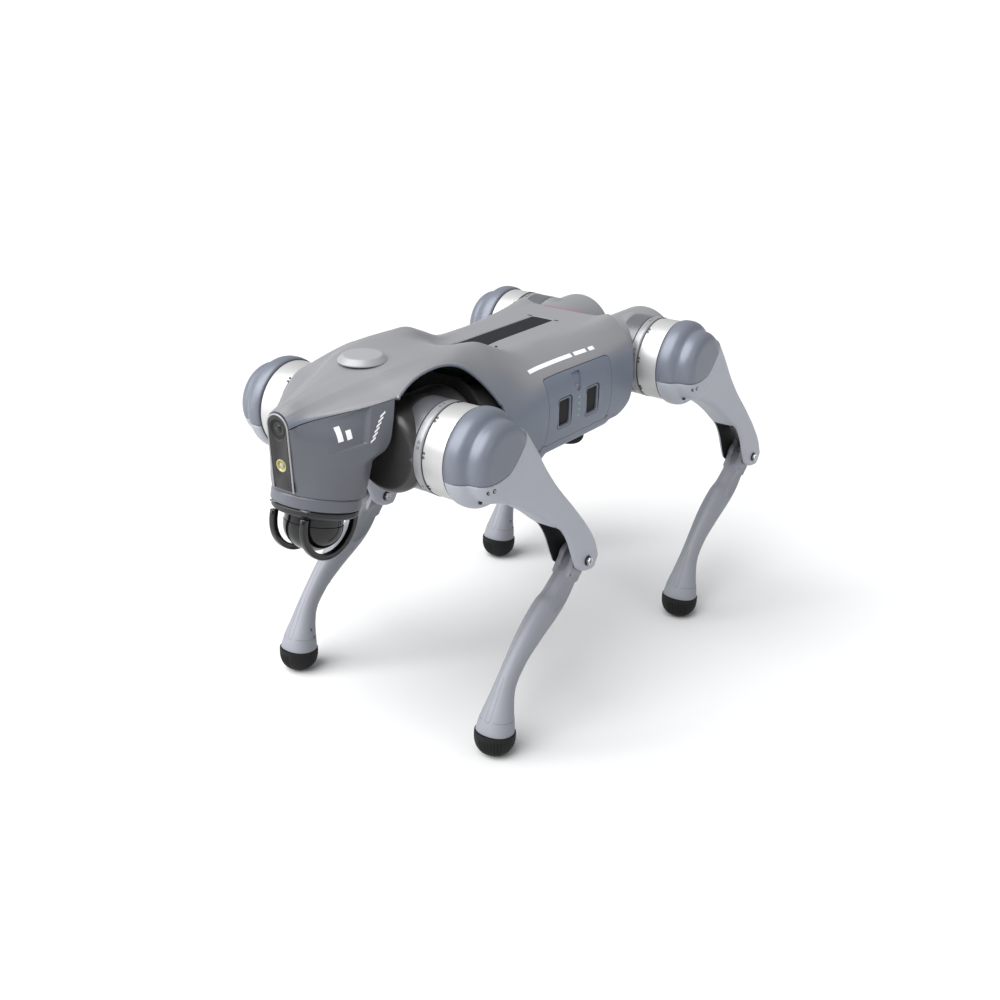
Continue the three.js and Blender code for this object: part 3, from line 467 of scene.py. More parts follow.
def outline_distance(a, b, outline):
    """Distance of points (a, b) from a closed outline, negative inside."""
    best = np.full(len(a), 1e9)
    inside = np.zeros(len(a), bool)
    for (a0, b0), (a1, b1) in zip(outline, list(outline[1:]) + [outline[0]]):
        da, db = a1 - a0, b1 - b0
        share = np.clip(((a - a0) * da + (b - b0) * db) / (da * da + db * db + 1e-12), 0, 1)
        best = np.minimum(best, np.hypot(a - a0 - share * da, b - b0 - share * db))
        if b0 != b1:
            crosses = ((b0 > b) != (b1 > b)) & (a < (b - b0) * da / (b1 - b0) + a0)
            inside ^= crosses
    return np.where(inside, -best, best)


SNAP = 0.1  # corners this near a trim line, as a share of the face's edge, move onto it


def trimmed(shape, field):
    """The part of a surface where field(points) is positive, cut cleanly along its zero line."""
    points, faces = np.array(shape[0], float), shape[1]
    value = field(points)
    edges = {tuple(sorted(pair)) for face in faces for pair in zip(face, face[1:] + face[:1])}
    for a, b in sorted(edges):
        if value[a] * value[b] < 0:
            share = value[a] / (value[a] - value[b])
            if share < SNAP:
                points[a] += share * (points[b] - points[a])
                value[a] = 0
            elif share > 1 - SNAP:
                points[b] += (1 - share) * (points[a] - points[b])
                value[b] = 0
    out, crossings, kept = list(points), {}, []

    def crossing(a, b):
        key = (min(a, b), max(a, b))
        if key not in crossings:
            share = value[a] / (value[a] - value[b])
            crossings[key] = len(out)
            out.append(points[a] + share * (points[b] - points[a]))
        return crossings[key]

    for face in faces:
        if max(value[i] for i in face) <= 0:
            continue
        keep = []
        for a, b in zip(face, face[1:] + face[:1]):
            if value[a] >= 0:
                keep.append(a)
            if value[a] * value[b] < 0:
                keep.append(crossing(a, b))
        if len(keep) > 2:
            kept.append(tuple(keep))
    used = sorted({i for face in kept for i in face})
    index = {old: new for new, old in enumerate(used)}
    return np.array([out[i] for i in used]), [tuple(index[i] for i in face) for face in kept]


# ---- Mesh work with modifiers, in millimetres ----------------------------------------------------
def mesh_of(shape, name="work"):
    mesh = bpy.data.meshes.new(name)
    mesh.from_pydata([tuple(point) for point in shape[0]], [], [tuple(face) for face in shape[1]])
    mesh.validate()
    return mesh


def new_object(name, data):
    thing = bpy.data.objects.new(name, data)
    bpy.context.scene.collection.objects.link(thing)
    return thing


def outward(mesh):
    """Turns faces to point outwards."""
    work = bmesh.new()
    work.from_mesh(mesh)
    bmesh.ops.recalc_face_normals(work, faces=work.faces)
    work.to_mesh(mesh)
    work.free()


def facing_out(shape, inside):
    """An open surface with its faces turned away from a point inside it."""
    points = np.asarray(shape[0])
    total = 0
    for face in shape[1][::7]:
        a, b, c = points[face[0]], points[face[1]], points[face[2]]
        total += np.dot(np.cross(b - a, c - a), a - np.asarray(inside, float))
    return (points, [tuple(face)[::-1] for face in shape[1]]) if total < 0 else shape


def modified(shape, *steps, fix_normals=True):
    """The shape after a row of modifiers, each given as (kind, settings)."""
    mesh = mesh_of(shape)
    if fix_normals:
        outward(mesh)
    worker = new_object("work", mesh)
    for kind, settings in steps:
        modifier = worker.modifiers.new(kind.lower(), kind)
        for key, value in settings.items():
            setattr(modifier, key, value)
    result = worker.evaluated_get(bpy.context.evaluated_depsgraph_get()).to_mesh()
    points = np.zeros(len(result.vertices) * 3)
    result.vertices.foreach_get("co", points)
    faces = [tuple(polygon.vertices) for polygon in result.polygons]
    bpy.data.objects.remove(worker)
    bpy.data.meshes.remove(mesh)
    return points.reshape(-1, 3), faces


def bevelled(shape, width, segments=3, angle=35):
    return modified(shape, ("BEVEL", dict(width=width, segments=segments, limit_method="ANGLE",
                                          angle_limit=math.radians(angle))))


def boolean(shape, tool, operation):
    mesh = mesh_of(tool, "tool")
    outward(mesh)
    cutter = new_object("tool", mesh)
    settings = dict(operation=operation, solver="EXACT", object=cutter)
    result = modified(shape, ("BOOLEAN", settings))
    bpy.data.objects.remove(cutter)
    return result


def cut(shape, *tools):
    for tool in tools:
        shape = boolean(shape, tool, "DIFFERENCE")
    return shape


def common(shape, tool):
    return boolean(shape, tool, "INTERSECT")


def fused(shape, voxel, rounds, keep=0.5):
    """Everything in the shape melted into one skin with soft edges, then thinned."""
    return modified(shape, ("REMESH", dict(mode="VOXEL", voxel_size=voxel)),
                    ("SMOOTH", dict(factor=0.5, iterations=rounds)),
                    ("DECIMATE", dict(ratio=keep)))


def thickened(shape, thickness, edge=0.5):
    """A surface given thickness inwards, with its outer rim rounded. Needs faces that point outwards."""
    return modified(shape,
                    ("SOLIDIFY", dict(thickness=thickness, offset=-1, use_rim=True,
                                      bevel_convex=1.0)),
                    ("BEVEL", dict(width=edge, segments=2, limit_method="WEIGHT")),
                    fix_normals=False)


# ---- Putting pieces in place ---------------------------------------------------------------------
def finish_piece(name, points, faces, material, body, replaces=(), sharp=38):
    mesh = mesh_of((points, faces), name)
    outward(mesh)
    mesh.shade_smooth()
    mesh.set_sharp_from_angle(angle=math.radians(sharp))
    mesh.materials.append(material)
    piece = new_object(name, mesh)
    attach(piece, body)
    if replaces:
        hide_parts(*replaces)
    return piece


def on_trunk(name, shape, material, body="trunk", replaces=(), sharp=38):
    points = np.asarray(shape[0]) * MM + np.array(TRUNK)
    return finish_piece(name, points, shape[1], material, body, replaces, sharp)


def shade_faces(shape, piece, test):
    """Gives the faces whose centres (in the shape's millimetres) pass the test the shadow black, as painted shade
    inside a recess.
    """
    points = np.asarray(shape[0])
    centres = np.array([points[list(face)].mean(axis=0) for face in shape[1]])
    piece.data.materials.append(DEEP_BLACK)
    for polygon, dark in zip(piece.data.polygons, test(centres)):
        polygon.material_index = int(dark)


def on_legs(name, shape, material, link, replaces=(), sharp=38, ends=tuple(ENDS),
            dark=None):
    """One piece on each leg. `link` and `replaces` are names without their end and side, and `dark`
    tests which faces get painted shade as black insides."""
    for end in ends:
        for side, sign in SIDES.items():
            points, faces = shape if sign > 0 else mirrored(shape)
            points = (points + (ENDS[end] * HIP_X, 0, 0)) * MM + np.array(TRUNK)
            tag = f"{end}_{side}"
            piece = finish_piece(f"{name}_{tag}", points, faces, material, f"{link}_{tag}",
                                 [f"{node}_{tag}" for node in replaces], sharp)
            if dark is not None:
                shade_faces(shape, piece, dark)


def tube(path, radius, sides=6):
    """A thin closed tube along a path."""
    path = np.asarray(path, float)
    rings = []
    for i, point in enumerate(path):
        ahead = path[min(i + 1, len(path) - 1)] - path[max(i - 1, 0)]
        ahead /= np.linalg.norm(ahead) + 1e-12
        across = np.cross(ahead, (0.31, 0.17, 0.93))
        across /= np.linalg.norm(across)
        third = np.cross(ahead, across)
        rings.append([point + radius * (math.cos(a) * across + math.sin(a) * third)
                      for a in np.arange(sides) / sides * 2 * math.pi])
    return loft(rings)


def tree_of(shape):
    return BVHTree.FromPolygons([Vector(p) for p in shape[0]], [tuple(f) for f in shape[1]])


def projected(target, points, direction, lift=0.0):
    """Points pushed along a direction until they meet the target's surface."""
    direction = Vector(direction).normalized()
    landed = []
    for point in points:
        start = Vector(point) - direction * 200
        place = target.ray_cast(start, direction)[0]
        if place is not None:
            landed.append(np.array(place) - np.array(direction) * lift)
    return np.array(landed)


def seam(target, points, direction, radius=0.35, count=60, closed=False):
    """A dark joint line drawn on a surface."""
    path = smooth_path(points, count, closed) if len(points) > 2 else np.linspace(*points, count)
    if closed:
        path = np.vstack([path, path[:1]])
    return tube(projected(target, path, direction, lift=-radius * 0.35), radius)


def decal(target, outline, direction, lift=0.12, depth=0.5, rows=6):
    """A thin printed patch on a surface: a four-cornered outline, finely divided and projected."""
    a, b, c, d = (np.asarray(corner, float) for corner in outline)
    grid = []
    for u in np.linspace(0, 1, rows):
        left, right = a + (d - a) * u, b + (c - b) * u
        grid += [left + (right - left) * v for v in np.linspace(0, 1, rows)]
    top = projected(target, grid, direction, lift)
    bottom = top + np.asarray(direction, float) / np.linalg.norm(direction) * depth
    count = rows * rows
    faces = grid_faces(rows, rows)
    faces += [tuple(i + count for i in face)[::-1] for face in grid_faces(rows, rows)]
    rim = ([*range(rows)] + [r * rows + rows - 1 for r in range(1, rows)]
           + [count - 1 - i for i in range(1, rows)] + [r * rows for r in range(rows - 2, 0, -1)])
    faces += [(i, j, j + count, i + count) for i, j in zip(rim, rim[1:] + rim[:1])]
    return np.vstack([top, bottom]), faces


def screw(place, direction, radius=1.6, proud=0.5):
    """A socket-head screw, facing along a direction."""
    head = [(0, -1.2), (radius, -1.2), (radius, proud * 0.6), (radius * 0.85, proud),
            (radius * 0.55, proud), (radius * 0.5, proud - 0.7), (0, proud - 0.7)]
    points, faces = turned("z", head, sides=12)
    turn = Vector(direction).to_track_quat("Z", "Y").to_matrix()
    return points @ np.array(turn).T + np.asarray(place, float), faces


# ---- Top shell -----------------------------------------------------------------------------------
SHELL_T = 2.6
LINER_SCALE = (0.985, 0.97, 0.985)  # the black liner, painted shade inside the shell, is the shell's skin shrunk by this
DECK_Z = 53.2  # the flat of the back
SKIRT_Z = -54.3  # the shell's lower edge

# Half sections along the trunk: x, then (y, z) from the middle of the back, over the ridge or
# shoulder, down the side to the belt crease and the lower edge.
TOP_SECTIONS = [
    (-137, [(0, DECK_Z), (30, DECK_Z), (45, 54), (60, 58), (80, 42), (91.5, 26),
            (96.5, 2), (94, -34), (87, SKIRT_Z)]),
    (-110, [(0, DECK_Z), (30, DECK_Z), (46, 53.4), (60, 54), (80, 39), (91.5, 24),
            (96.5, 2), (94.5, -34), (87, SKIRT_Z)]),
    (-60, [(0, DECK_Z), (30, DECK_Z), (46, DECK_Z), (57, 51), (77.5, 37), (91, 22),
           (96.5, 1), (94.5, -34), (87, SKIRT_Z)]),
    (0, [(0, DECK_Z), (30, DECK_Z), (45, DECK_Z), (54, 50), (75, 36.5), (90, 21),
         (96.5, 0), (94.5, -34), (87, SKIRT_Z)]),
    (45, [(0, DECK_Z), (28, DECK_Z), (40, 55), (52, 54), (74, 39), (90, 21),
          (96.5, -1), (94, -34), (87, SKIRT_Z)]),
    (72, [(0, 54), (26, 57), (38, 64), (48, 66), (70, 48), (87, 20),
          (95, -4), (93, -34), (86, SKIRT_Z)]),
    (95, [(0, 62), (24, 66), (36, 73), (48, 75), (68, 56), (85, 24),
          (94, -4), (92, -34), (85, SKIRT_Z)]),
    (118, [(0, 71), (24, 73), (36, 76), (47, 76.7), (64, 63), (82, 30),
           (92, -4), (90, -34), (84, SKIRT_Z)]),
    (145, [(0, 75), (24, 76), (38, 77), (50, 76), (63, 68), (76, 45),
           (88, 8), (88, -30), (82, -50)]),
    (193, [(0, 77), (24, 77.5), (39, 76.6), (50, 73), (58, 70), (66, 66),
           (70, 56), (70, 50), (70, 40)]),
    (222, [(0, 75.5), (22, 75), (34.5, 73.4), (45, 67.4), (56, 64.8), (64, 62),
           (67, 59), (67, 57.5), (67, 56)]),
    (240, [(0, 72.6), (17, 72), (28.5, 69.6), (39.5, 62.8), (50.5, 60.6), (60, 59.6),
           (63, 58.6), (63.5, 58), (64, 57.7)]),
    (262, [(0, 68.6), (11.5, 68), (21.5, 65.4), (31.5, 59.2), (41, 57.5), (49, 56.8),
           (52, 55.6), (53, 55), (54, 54.2)]),
    (285, [(0, 64.2), (8, 63.4), (16, 60.6), (24, 55.4), (31, 53.8), (36, 53),
           (38.5, 51.8), (39.4, 51), (40, 50.4)]),
    (305, [(0, 60.6), (6, 59.8), (12.8, 56.8), (18.3, 52.6), (22, 50.6), (24.5, 49.6),
           (25.8, 48.4), (26.2, 47.6), (26.5, 46.8)]),
    (320, [(0, 58), (6, 57.5), (11.5, 54.5), (14.2, 51), (15.6, 48.8), (16.6, 47),
           (17.1, 45.6), (17.4, 44.6), (17.5, 43.6)]),
    (330, [(0, 55), (5, 54.3), (9.2, 52), (11.6, 49), (12.8, 46.8), (13.5, 45),
           (13.9, 43.6), (14, 42.4), (14, 41)]),
]
# The arches' lips seen from above, (x, y), on the left.
ARCH_LIP = [(99, 104), (99.5, 92), (104, 86.5), (112, 80.5), (122, 74), (132, 69), (143, 64.8),
            (155, 61.4), (168, 59), (182, 57.8), (196, 57.6), (208, 58.4), (219, 60), (229, 62.4),
            (236, 64.6), (240, 68), (241, 104)]
LIP_R = 2.1
TAIL_X, TAIL_R = -137, 21
TAIL_LINE = 31  # half the red line across the back's rear edge
STRAP_LOW, STRAP_HIGH = node_box("carry_strap")
STRAP_SUNK = 2.0
STRAP_GAP = 0.6


def mirrored_sections(sections):
    rows = []
    for x, half in sections:
        left = [(x, y, z) for y, z in half]
        right = [(x, -y, z) for y, z in half[1:][::-1]]
        rows.append(right + left)
    return rows


CREST_COLUMN = 2  # of a half section: the crease from the face's shoulder back to the puck


def top_skin():
    rows = mirrored_sections(TOP_SECTIONS)
    middle = len(TOP_SECTIONS[0][1]) - 1
    crisp = np.zeros((len(rows), len(rows[0])))
    for row, (x, _) in enumerate(TOP_SECTIONS):
        sharp = np.interp(x, [60, 118, 200, 330], [0.2, 0.6, 0.9, 0.9])
        crisp[row, [middle - CREST_COLUMN, middle + CREST_COLUMN]] = sharp
    grid = smoothed_grid(rows, [x for x, _ in TOP_SECTIONS], 200, 217, crisp)
    return surface(grid)


def battery_outline(grow):
    low, high = node_box("battery_pack")
    corners = [(low.x - grow, low.z - grow), (high.x + grow, low.z - grow),
               (high.x + grow, high.z + grow), (low.x - grow, high.z + grow)]
    return rounded_loop(corners, 6)


def strap_sunk(points):
    """Lowers the back inside the strap's recess."""
    x, y, z = points.T
    edge = np.minimum.reduce([x - STRAP_LOW.x + STRAP_GAP, STRAP_HIGH.x + STRAP_GAP - x,
                              STRAP_HIGH.y + STRAP_GAP - abs(y)])
    sink = np.clip(edge / 0.8, 0, 1) * np.where(z > 40, STRAP_SUNK, 0)
    return np.stack([x, y, z - sink], axis=1)


def full_skin():
    """The top shell's surface with arches and skirts cut away, before the battery door's opening."""
    lip = [tuple(point) for point in smooth_path(ARCH_LIP[1:-1], 90)]
    lip = [ARCH_LIP[0], *lip, ARCH_LIP[-1]]
    skin = facing_out(top_skin(), (0, 0, 0))
    skin = trimmed(skin, lambda p: outline_distance(p[:, 0], abs(p[:, 1]), lip))
    corner = TAIL_X + TAIL_R, SKIRT_Z + TAIL_R
    return trimmed(skin, lambda p: np.maximum.reduce(
        [p[:, 0] - corner[0], p[:, 2] - corner[1],
         TAIL_R - np.hypot(p[:, 0] - corner[0], p[:, 2] - corner[1])]))


LEFT_SIDE = 70  # the shell's left side lies past this y
DOOR_GAP = 0.45
FULL_SKIN = full_skin()
FULL_TREE = tree_of(FULL_SKIN)


def in_outline(outline):
    """Positive for points inside an outline (x, z) on the left side."""
    return lambda p: np.minimum(-outline_distance(p[:, 0], p[:, 2], outline), p[:, 1] - LEFT_SIDE)


def outside_outline(outline):
    inside = in_outline(outline)
    return lambda p: -inside(p)


def arch_lips():
    """The rolled edge of each arch."""
    path = smooth_path(ARCH_LIP[2:-1], 110)
    lips = []
    for sign in SIDES.values():
        landed = projected(FULL_TREE, [(x, sign * (y - 0.7), 90) for x, y in path], DOWN)
        lips.append(tube(landed - (0, 0, LIP_R * 0.8), LIP_R, 10))
    return merged(*lips)


def build_top_shell():
    opened = trimmed(FULL_SKIN, outside_outline(battery_outline(DOOR_GAP)))
    shell = thickened(opened, SHELL_T)
    shell = strap_sunk(shell[0]), shell[1]
    on_trunk("shell_top", shell, SHELL, replaces=["top_shell"], sharp=50)
    on_trunk("arch_lips", arch_lips(), SHELL)
    # A black sheet just inside the shell, as painted shade for the shell's inside seen through the arches.
    skin = FULL_SKIN[0] * LINER_SCALE - (0, 0, 0.6), FULL_SKIN[1]
    on_trunk("shell_shade_liner", thickened(skin, 0.8), DEEP_BLACK)
    dot = screw((34.5, 27, DECK_Z + 0.1), UP, 1.5, 0.2)
    on_trunk("deck_screw", dot, DARK_METAL)


def build_tail():
    """The red line across the back's rear edge, and the plug at each end of it."""
    ends = [(TAIL_X - 0.5, sign * TAIL_LINE, DECK_Z - 0.4) for sign in (-1, 1)]
    on_trunk("tail_line", tube(np.linspace(*ends, 12), 0.7, 8), RED_LINE)
    plugs = [bevelled(block((TAIL_X - 3, TAIL_X), (y, y + 5), (DECK_Z - 5, DECK_Z - 0.8)), 0.8, 2)
             for y in (TAIL_LINE + 2, -TAIL_LINE - 7)]
    on_trunk("tail_plugs", merged(*plugs), BLACK)


# ---- Head ----------------------------------------------------------------------------------------
# Outlines of the head's side seen from above: height at the face, height at the rear edge, how the
# drop between them is bowed, and (x, y) points.
HEAD_SECTIONS = [
    (-26, -41.6, 1, [(325, 0), (324, 13), (318, 25), (307, 36), (292, 43), (276, 45), (262, 42)]),
    (-18, -26, 1, [(325.5, 0), (325, 13), (318, 26), (306, 38), (290, 45), (273, 47), (260, 45)]),
    (-8, -8, 1, [(327, 0), (326.5, 13), (317, 27), (304, 38.6), (287, 47.5), (272, 50.5), (259, 49)]),
    (-2, -1, 1, [(327.4, 0), (327, 13), (317, 27), (303.4, 39.8), (286, 49.4), (273, 53), (260, 52)]),
    (6, 9, 1, [(328, 0), (327.5, 13), (317, 27), (302, 41), (281, 52.5), (265, 59), (253, 61)]),
    (12, 14, 1, [(328.2, 0), (327.7, 13), (317.2, 27), (302, 41.3), (280, 53.2), (263, 60.2), (250, 63)]),
    (28, 34, 1, [(329.5, 0), (329, 13.5), (318, 26), (301, 39.5), (278, 51.5), (260, 59.4), (245, 64.6)]),
    (40, 57, 0.8, [(330, 0), (329.5, 14), (320, 18), (304, 27), (284, 41), (262, 54), (241, 64)]),
]
RECESS = dict(top=(266.4, 52), bottom=(274.7, 21.1), length=30, depth=3.0, bevel=4.0,
              top_fall=0.275, bottom_fall=0.17)
FACE_BOTTOM = Vector((326.2, 0, -22.6))
FACE_TOP = Vector((330.6, 0, 52.5))
FACE_HALF = 12.4
FACE_TILT = math.atan2(FACE_TOP.x - FACE_BOTTOM.x, FACE_TOP.z - FACE_BOTTOM.z)
FACE_LENGTH = (FACE_TOP - FACE_BOTTOM).length
EYE_UP, EYE_HOLE = 61.1, 9.6  # height up the face, and radius
LAMP_UP, LAMP_HOLE = 24.6, 6.6


def head_rows():
    rows = []
    for front, rear, bow, points in HEAD_SECTIONS:
        x_front, x_rear = points[0][0], points[-1][0]
        half = [(x, y, front + (rear - front) * ((x_front - x) / (x_front - x_rear)) ** bow)
                for x, y in points]
        rows.append([(x, -y, z) for x, y, z in half[1:][::-1]] + half)
    return rows


def recess_depth(points):
    """How far the badge panel on each cheek is sunk: steep at the rear, fading out forwards."""
    x, y, z = points.T
    (x_top, z_top), (x_bottom, z_bottom) = RECESS["top"], RECESS["bottom"]
    rear = x_top + (z_top - z) / (z_top - z_bottom) * (x_bottom - x_top)
    into = x - rear + RECESS["bevel"]
    ceiling = z_top + 1.5 - (x - x_top) * RECESS["top_fall"]
    floor = z_bottom - 1.5 - (x - x_bottom) * RECESS["bottom_fall"]
    edge = np.minimum.reduce([into / RECESS["bevel"], (ceiling - z) / 1.5, (z - floor) / 1.5])
    fade = np.clip(1 - (x - rear) / RECESS["length"], 0, 1)
    return RECESS["depth"] * np.clip(edge, 0, 1) * fade * (abs(y) > 25)


def face_slot(grow):
    """The face panel's outline, a slot with a round top, as (y, distance up the face)."""
    half = FACE_HALF + grow
    top = FACE_LENGTH - FACE_HALF
    arc = [(half * math.cos(a), top + half * math.sin(a)) for a in np.linspace(0, math.pi, 33)]
    return [(-half, -grow), (half, -grow), *arc]


def on_face(points):
    """Points given as (y, up the face, out of the face), in the trunk's frame."""
    y, up, out = np.asarray(points, float).T
    c, s = math.cos(FACE_TILT), math.sin(FACE_TILT)
    return np.stack([FACE_BOTTOM.x + up * s + out * c, y, FACE_BOTTOM.z + up * c - out * s], axis=1)


def head_skin():
    rows = head_rows()
    heights = [front + rear for front, rear, _, _ in HEAD_SECTIONS]
    grid = smoothed_grid(rows, heights, 110, 241)
    du = np.gradient(grid, axis=0)
    dv = np.gradient(grid, axis=1)
    normal = np.cross(dv, du)
    normal /= np.linalg.norm(normal, axis=2, keepdims=True)
    outwards = np.sign((normal[..., 1] * grid[..., 1]).sum())
    depth = recess_depth(grid.reshape(-1, 3)).reshape(grid.shape[:2])
    grid = grid - normal * outwards * depth[..., None]
    slot = face_slot(0.5)
    shape = facing_out(surface(grid), (280, 0, 10))
    return trimmed(shape, lambda p: outline_distance(p[:, 1], (p[:, 2] - FACE_BOTTOM.z), slot))


HEAD_SKIN = head_skin()
HEAD_TREE = tree_of(HEAD_SKIN)


def build_head():
    # The cheeks' dark blue-grey is the shell's paint darkened as painted shade, on sides that face away from the
    # light.
    on_trunk("head_cheeks", thickened(HEAD_SKIN, SHELL_T), BLUE_GREY, replaces=["head_shell"],
             sharp=50)
    rim = [(y, up, 0.9) for y, up in face_slot(0.4)[1:]]
    rim = [(FACE_HALF + 0.4, -0.4, 0.9), *rim[1:], (-FACE_HALF - 0.4, -0.4, 0.9)]
    on_trunk("face_rim", tube(on_face(rim), 0.9, 8), LIGHT_GREY)


def face_prism(outline, out):
    points, faces = prism(outline, out, "z")
    return on_face(points), faces


def face_round(profile, up, sides=48):
    """Round of revolution standing on the face: profile is (radius, out of the face)."""
    points, faces = turned("z", profile, sides=sides)
    return on_face(np.stack([points[:, 0], points[:, 1] + up, points[:, 2]], axis=1)), faces


def bulb(radius, back, front, rise):
    """Profile of a round glass: a short barrel with a domed front."""
    arc = [(radius * math.cos(a), front + rise * math.sin(a)) for a in np.linspace(0.1, 1.5, 8)]
    return [(0, back), (radius, back), (radius, front), *arc]


def build_face_panel():
    panel = face_prism(face_slot(-0.1), (-1.5, 1.0))
    lamp_hole = [(0, -4), (LAMP_HOLE, -4), (LAMP_HOLE, 4), (0, 4)]
    eye_hole = [(0, -0.2), (EYE_HOLE, -0.2), (EYE_HOLE, 4), (0, 4)]
    panel = cut(panel, face_round(lamp_hole, LAMP_UP), face_round(eye_hole, EYE_UP))
    on_trunk("face_glass", bevelled(panel, 0.3, 2), PANEL_BLACK, replaces=["face_panel"])


def build_eye():
    """The camera: stepped black well, lens and the fine arc printed under it."""
    well = rounded([(9.5, 1.05), (8.8, 1.05), (7.6, 0.3), (7.3, 0.3), (6.2, -0.4), (5.9, -0.4),
                    (5.1, -1.1), (3.6, -1.1)], 0.2, 2)
    well = [*well, (3.6, -1.6), (9.5, -1.6), (9.5, 1.05)]
    on_trunk("lens_well", face_round(well, EYE_UP), DEEP_BLACK)
    lens = [*bulb(4.2, -1.5, -0.5, 1.5), (0, 1.0)]
    on_trunk("lens_glass", face_round(lens, EYE_UP), LENS, replaces=["camera_lens"])
    arc = [(6.72 * math.sin(a), EYE_UP - 11.4 * math.cos(a), 1.02)
           for a in np.linspace(-0.75, 0.75, 24)]
    on_trunk("lens_arc", tube(on_face(arc), 0.16), BLUE_GREY)


def build_lamp():
    bezel = rounded([(6.3, 1.1), (5.6, 1.5), (5.0, 1.1), (4.2, -0.9), (0, -1.2)], 0.3, 2)
    bezel = [*bezel, (0, -1.5), (6.3, -1.5), (6.3, 1.1)]
    on_trunk("lamp_reflector", face_round(bezel, LAMP_UP), LAMP)
    glass_front = [*bulb(2.6, -1.3, 0.1, 1.1), (0, 1.2)]
    on_trunk("lamp_lens", face_round(glass_front, LAMP_UP), LAMP_GLASS, replaces=["head_lamp"])


BARS = (13.5, 25.0), (8.5, 25.8)  # height and lower edge of each bar
BAR_FRONT, BAR_WIDTH, BAR_STEP = 296.5, 5, 8.5
HATCHES = 6
HATCH_AT, HATCH_STEP = (267.4, 22), (-2.5, 4.4)
HATCH = (1.6, -2.2), (-3.6, 1.6), (-3.9, 3.4), (1.3, -0.4)


def build_head_marks():
    """Plain bars and hatching, printed on both cheeks."""
    bars, hatches = [], []
    for sign, direction in ((1, RIGHT), (-1, LEFT)):
        for i, (height, low) in enumerate(BARS):
            x = BAR_FRONT - i * BAR_STEP
            corners = [(x, low), (x - BAR_WIDTH, low + 0.8), (x - BAR_WIDTH, low + height + 0.8),
                       (x, low + height)]
            bars.append(decal(HEAD_TREE, [(px, sign * 50, pz) for px, pz in corners], direction))
        for i in range(HATCHES):
            x, z = np.array(HATCH_AT) + i * np.array(HATCH_STEP)
            corners = [(x + dx, sign * 60, z + dz) for dx, dz in HATCH]
            hatches.append(decal(HEAD_TREE, corners, direction, rows=4))
    on_trunk("cheek_bars", merged(*bars), WHITE_PRINT)
    on_trunk("cheek_hatching", merged(*hatches), WHITE_PRINT)


# ---- Chin and scanner, on an axis tipped forward -------------------------------------------------
SCANNER = JOINTS["scanner_spin"]
SCANNER_AT = (Vector(SCANNER["pos_m"]) - TRUNK) / MM
SCANNER_TIP = math.atan2(-SCANNER["axis"][0], SCANNER["axis"][2])
CHIN_R, CHIN_INNER, CHIN_HEIGHT = 44.2, 33, 12
BASE_R, BASE_TOP, BASE_BOTTOM = 42.5, -12.6, -21
DOME_R, DOME_NECK, DOME_SHOULDER, DOME_BOTTOM = 29.5, -21.4, -34, -60
GUARD_Y, GUARD_HALF, GUARD_INNER, GUARD_LEGS, GUARD_WIDTH = 20, 38, 31.8, -27, 6.6


def tipped(shape):
    return turn_y(shape[0], -SCANNER_TIP) + np.array(SCANNER_AT), shape[1]


def build_scanner():
    chin = rounded([(CHIN_R - 1, -CHIN_HEIGHT), (CHIN_R, -CHIN_HEIGHT + 1), (CHIN_R, -1.2),
                    (CHIN_R - 0.8, 0)], 0.8)
    chin = [*chin, (CHIN_INNER, 0), (CHIN_INNER, -CHIN_HEIGHT), (CHIN_R - 1, -CHIN_HEIGHT)]
    on_trunk("chin_band", tipped(turned("z", chin, sides=96)), BLUE_GREY, replaces=["chin_ring"])
    base = rounded([(0, BASE_TOP), (BASE_R - 1.5, BASE_TOP), (BASE_R, BASE_TOP - 1.5),
                    (BASE_R, BASE_BOTTOM + 3), (BASE_R - 2, BASE_BOTTOM + 1),
                    (BASE_R - 5, BASE_BOTTOM), (0, BASE_BOTTOM)], 0.7)
    on_trunk("scanner_base", tipped(turned("z", base, sides=96)), BLACK, replaces=["lidar_base"])
    cap = [(DOME_R * math.sin(a), DOME_SHOULDER - (DOME_SHOULDER - DOME_BOTTOM) * math.cos(a))
           for a in np.linspace(0, math.pi / 2, 16)]
    dome = [*cap, (DOME_R, DOME_SHOULDER + 3), (DOME_R - 0.6, DOME_SHOULDER + 3.6),
            (DOME_R - 0.6, DOME_NECK - 2.4), (DOME_R, DOME_NECK - 1.8), (DOME_R, DOME_NECK),
            (0, DOME_NECK)]
    on_trunk("scanner_dome", tipped(turned("z", dome, sides=96)), GLOSS_BLACK, "scanner_rotor",
             ["lidar_rotor"])


def guard_edge(radius):
    """One edge of a guard loop, (x, z): two legs and a half round under them."""
    top = BASE_BOTTOM - 0.3
    arc = [(radius * math.cos(a), GUARD_LEGS + radius * math.sin(a))
           for a in np.linspace(math.pi, 2 * math.pi, 41)]
    return [(-radius, top), *arc, (radius, top)]


def build_guards():
    outline = guard_edge(GUARD_HALF) + guard_edge(GUARD_INNER)[::-1]
    for side, sign in SIDES.items():
        middle = sign * GUARD_Y
        loop = prism(outline, (middle - GUARD_WIDTH / 2, middle + GUARD_WIDTH / 2))
        loop = bevelled(loop, 1.2, 3, 50)
        plates = [bevelled(block((x - 5.5, x + 5.5), (middle - 4.6, middle + 4.6),
                                 (BASE_TOP - 1.5, BASE_TOP + 0.3)), 0.6, 2)
                  for x in (-GUARD_HALF + 3, GUARD_HALF - 5)]
        on_trunk(f"guard_loop_{side}", tipped(loop), GLOSS_BLACK,
                 replaces=[f"lidar_guard_{side}"])
        on_trunk(f"guard_plates_{side}", tipped(merged(*plates)), BLUE_GREY)


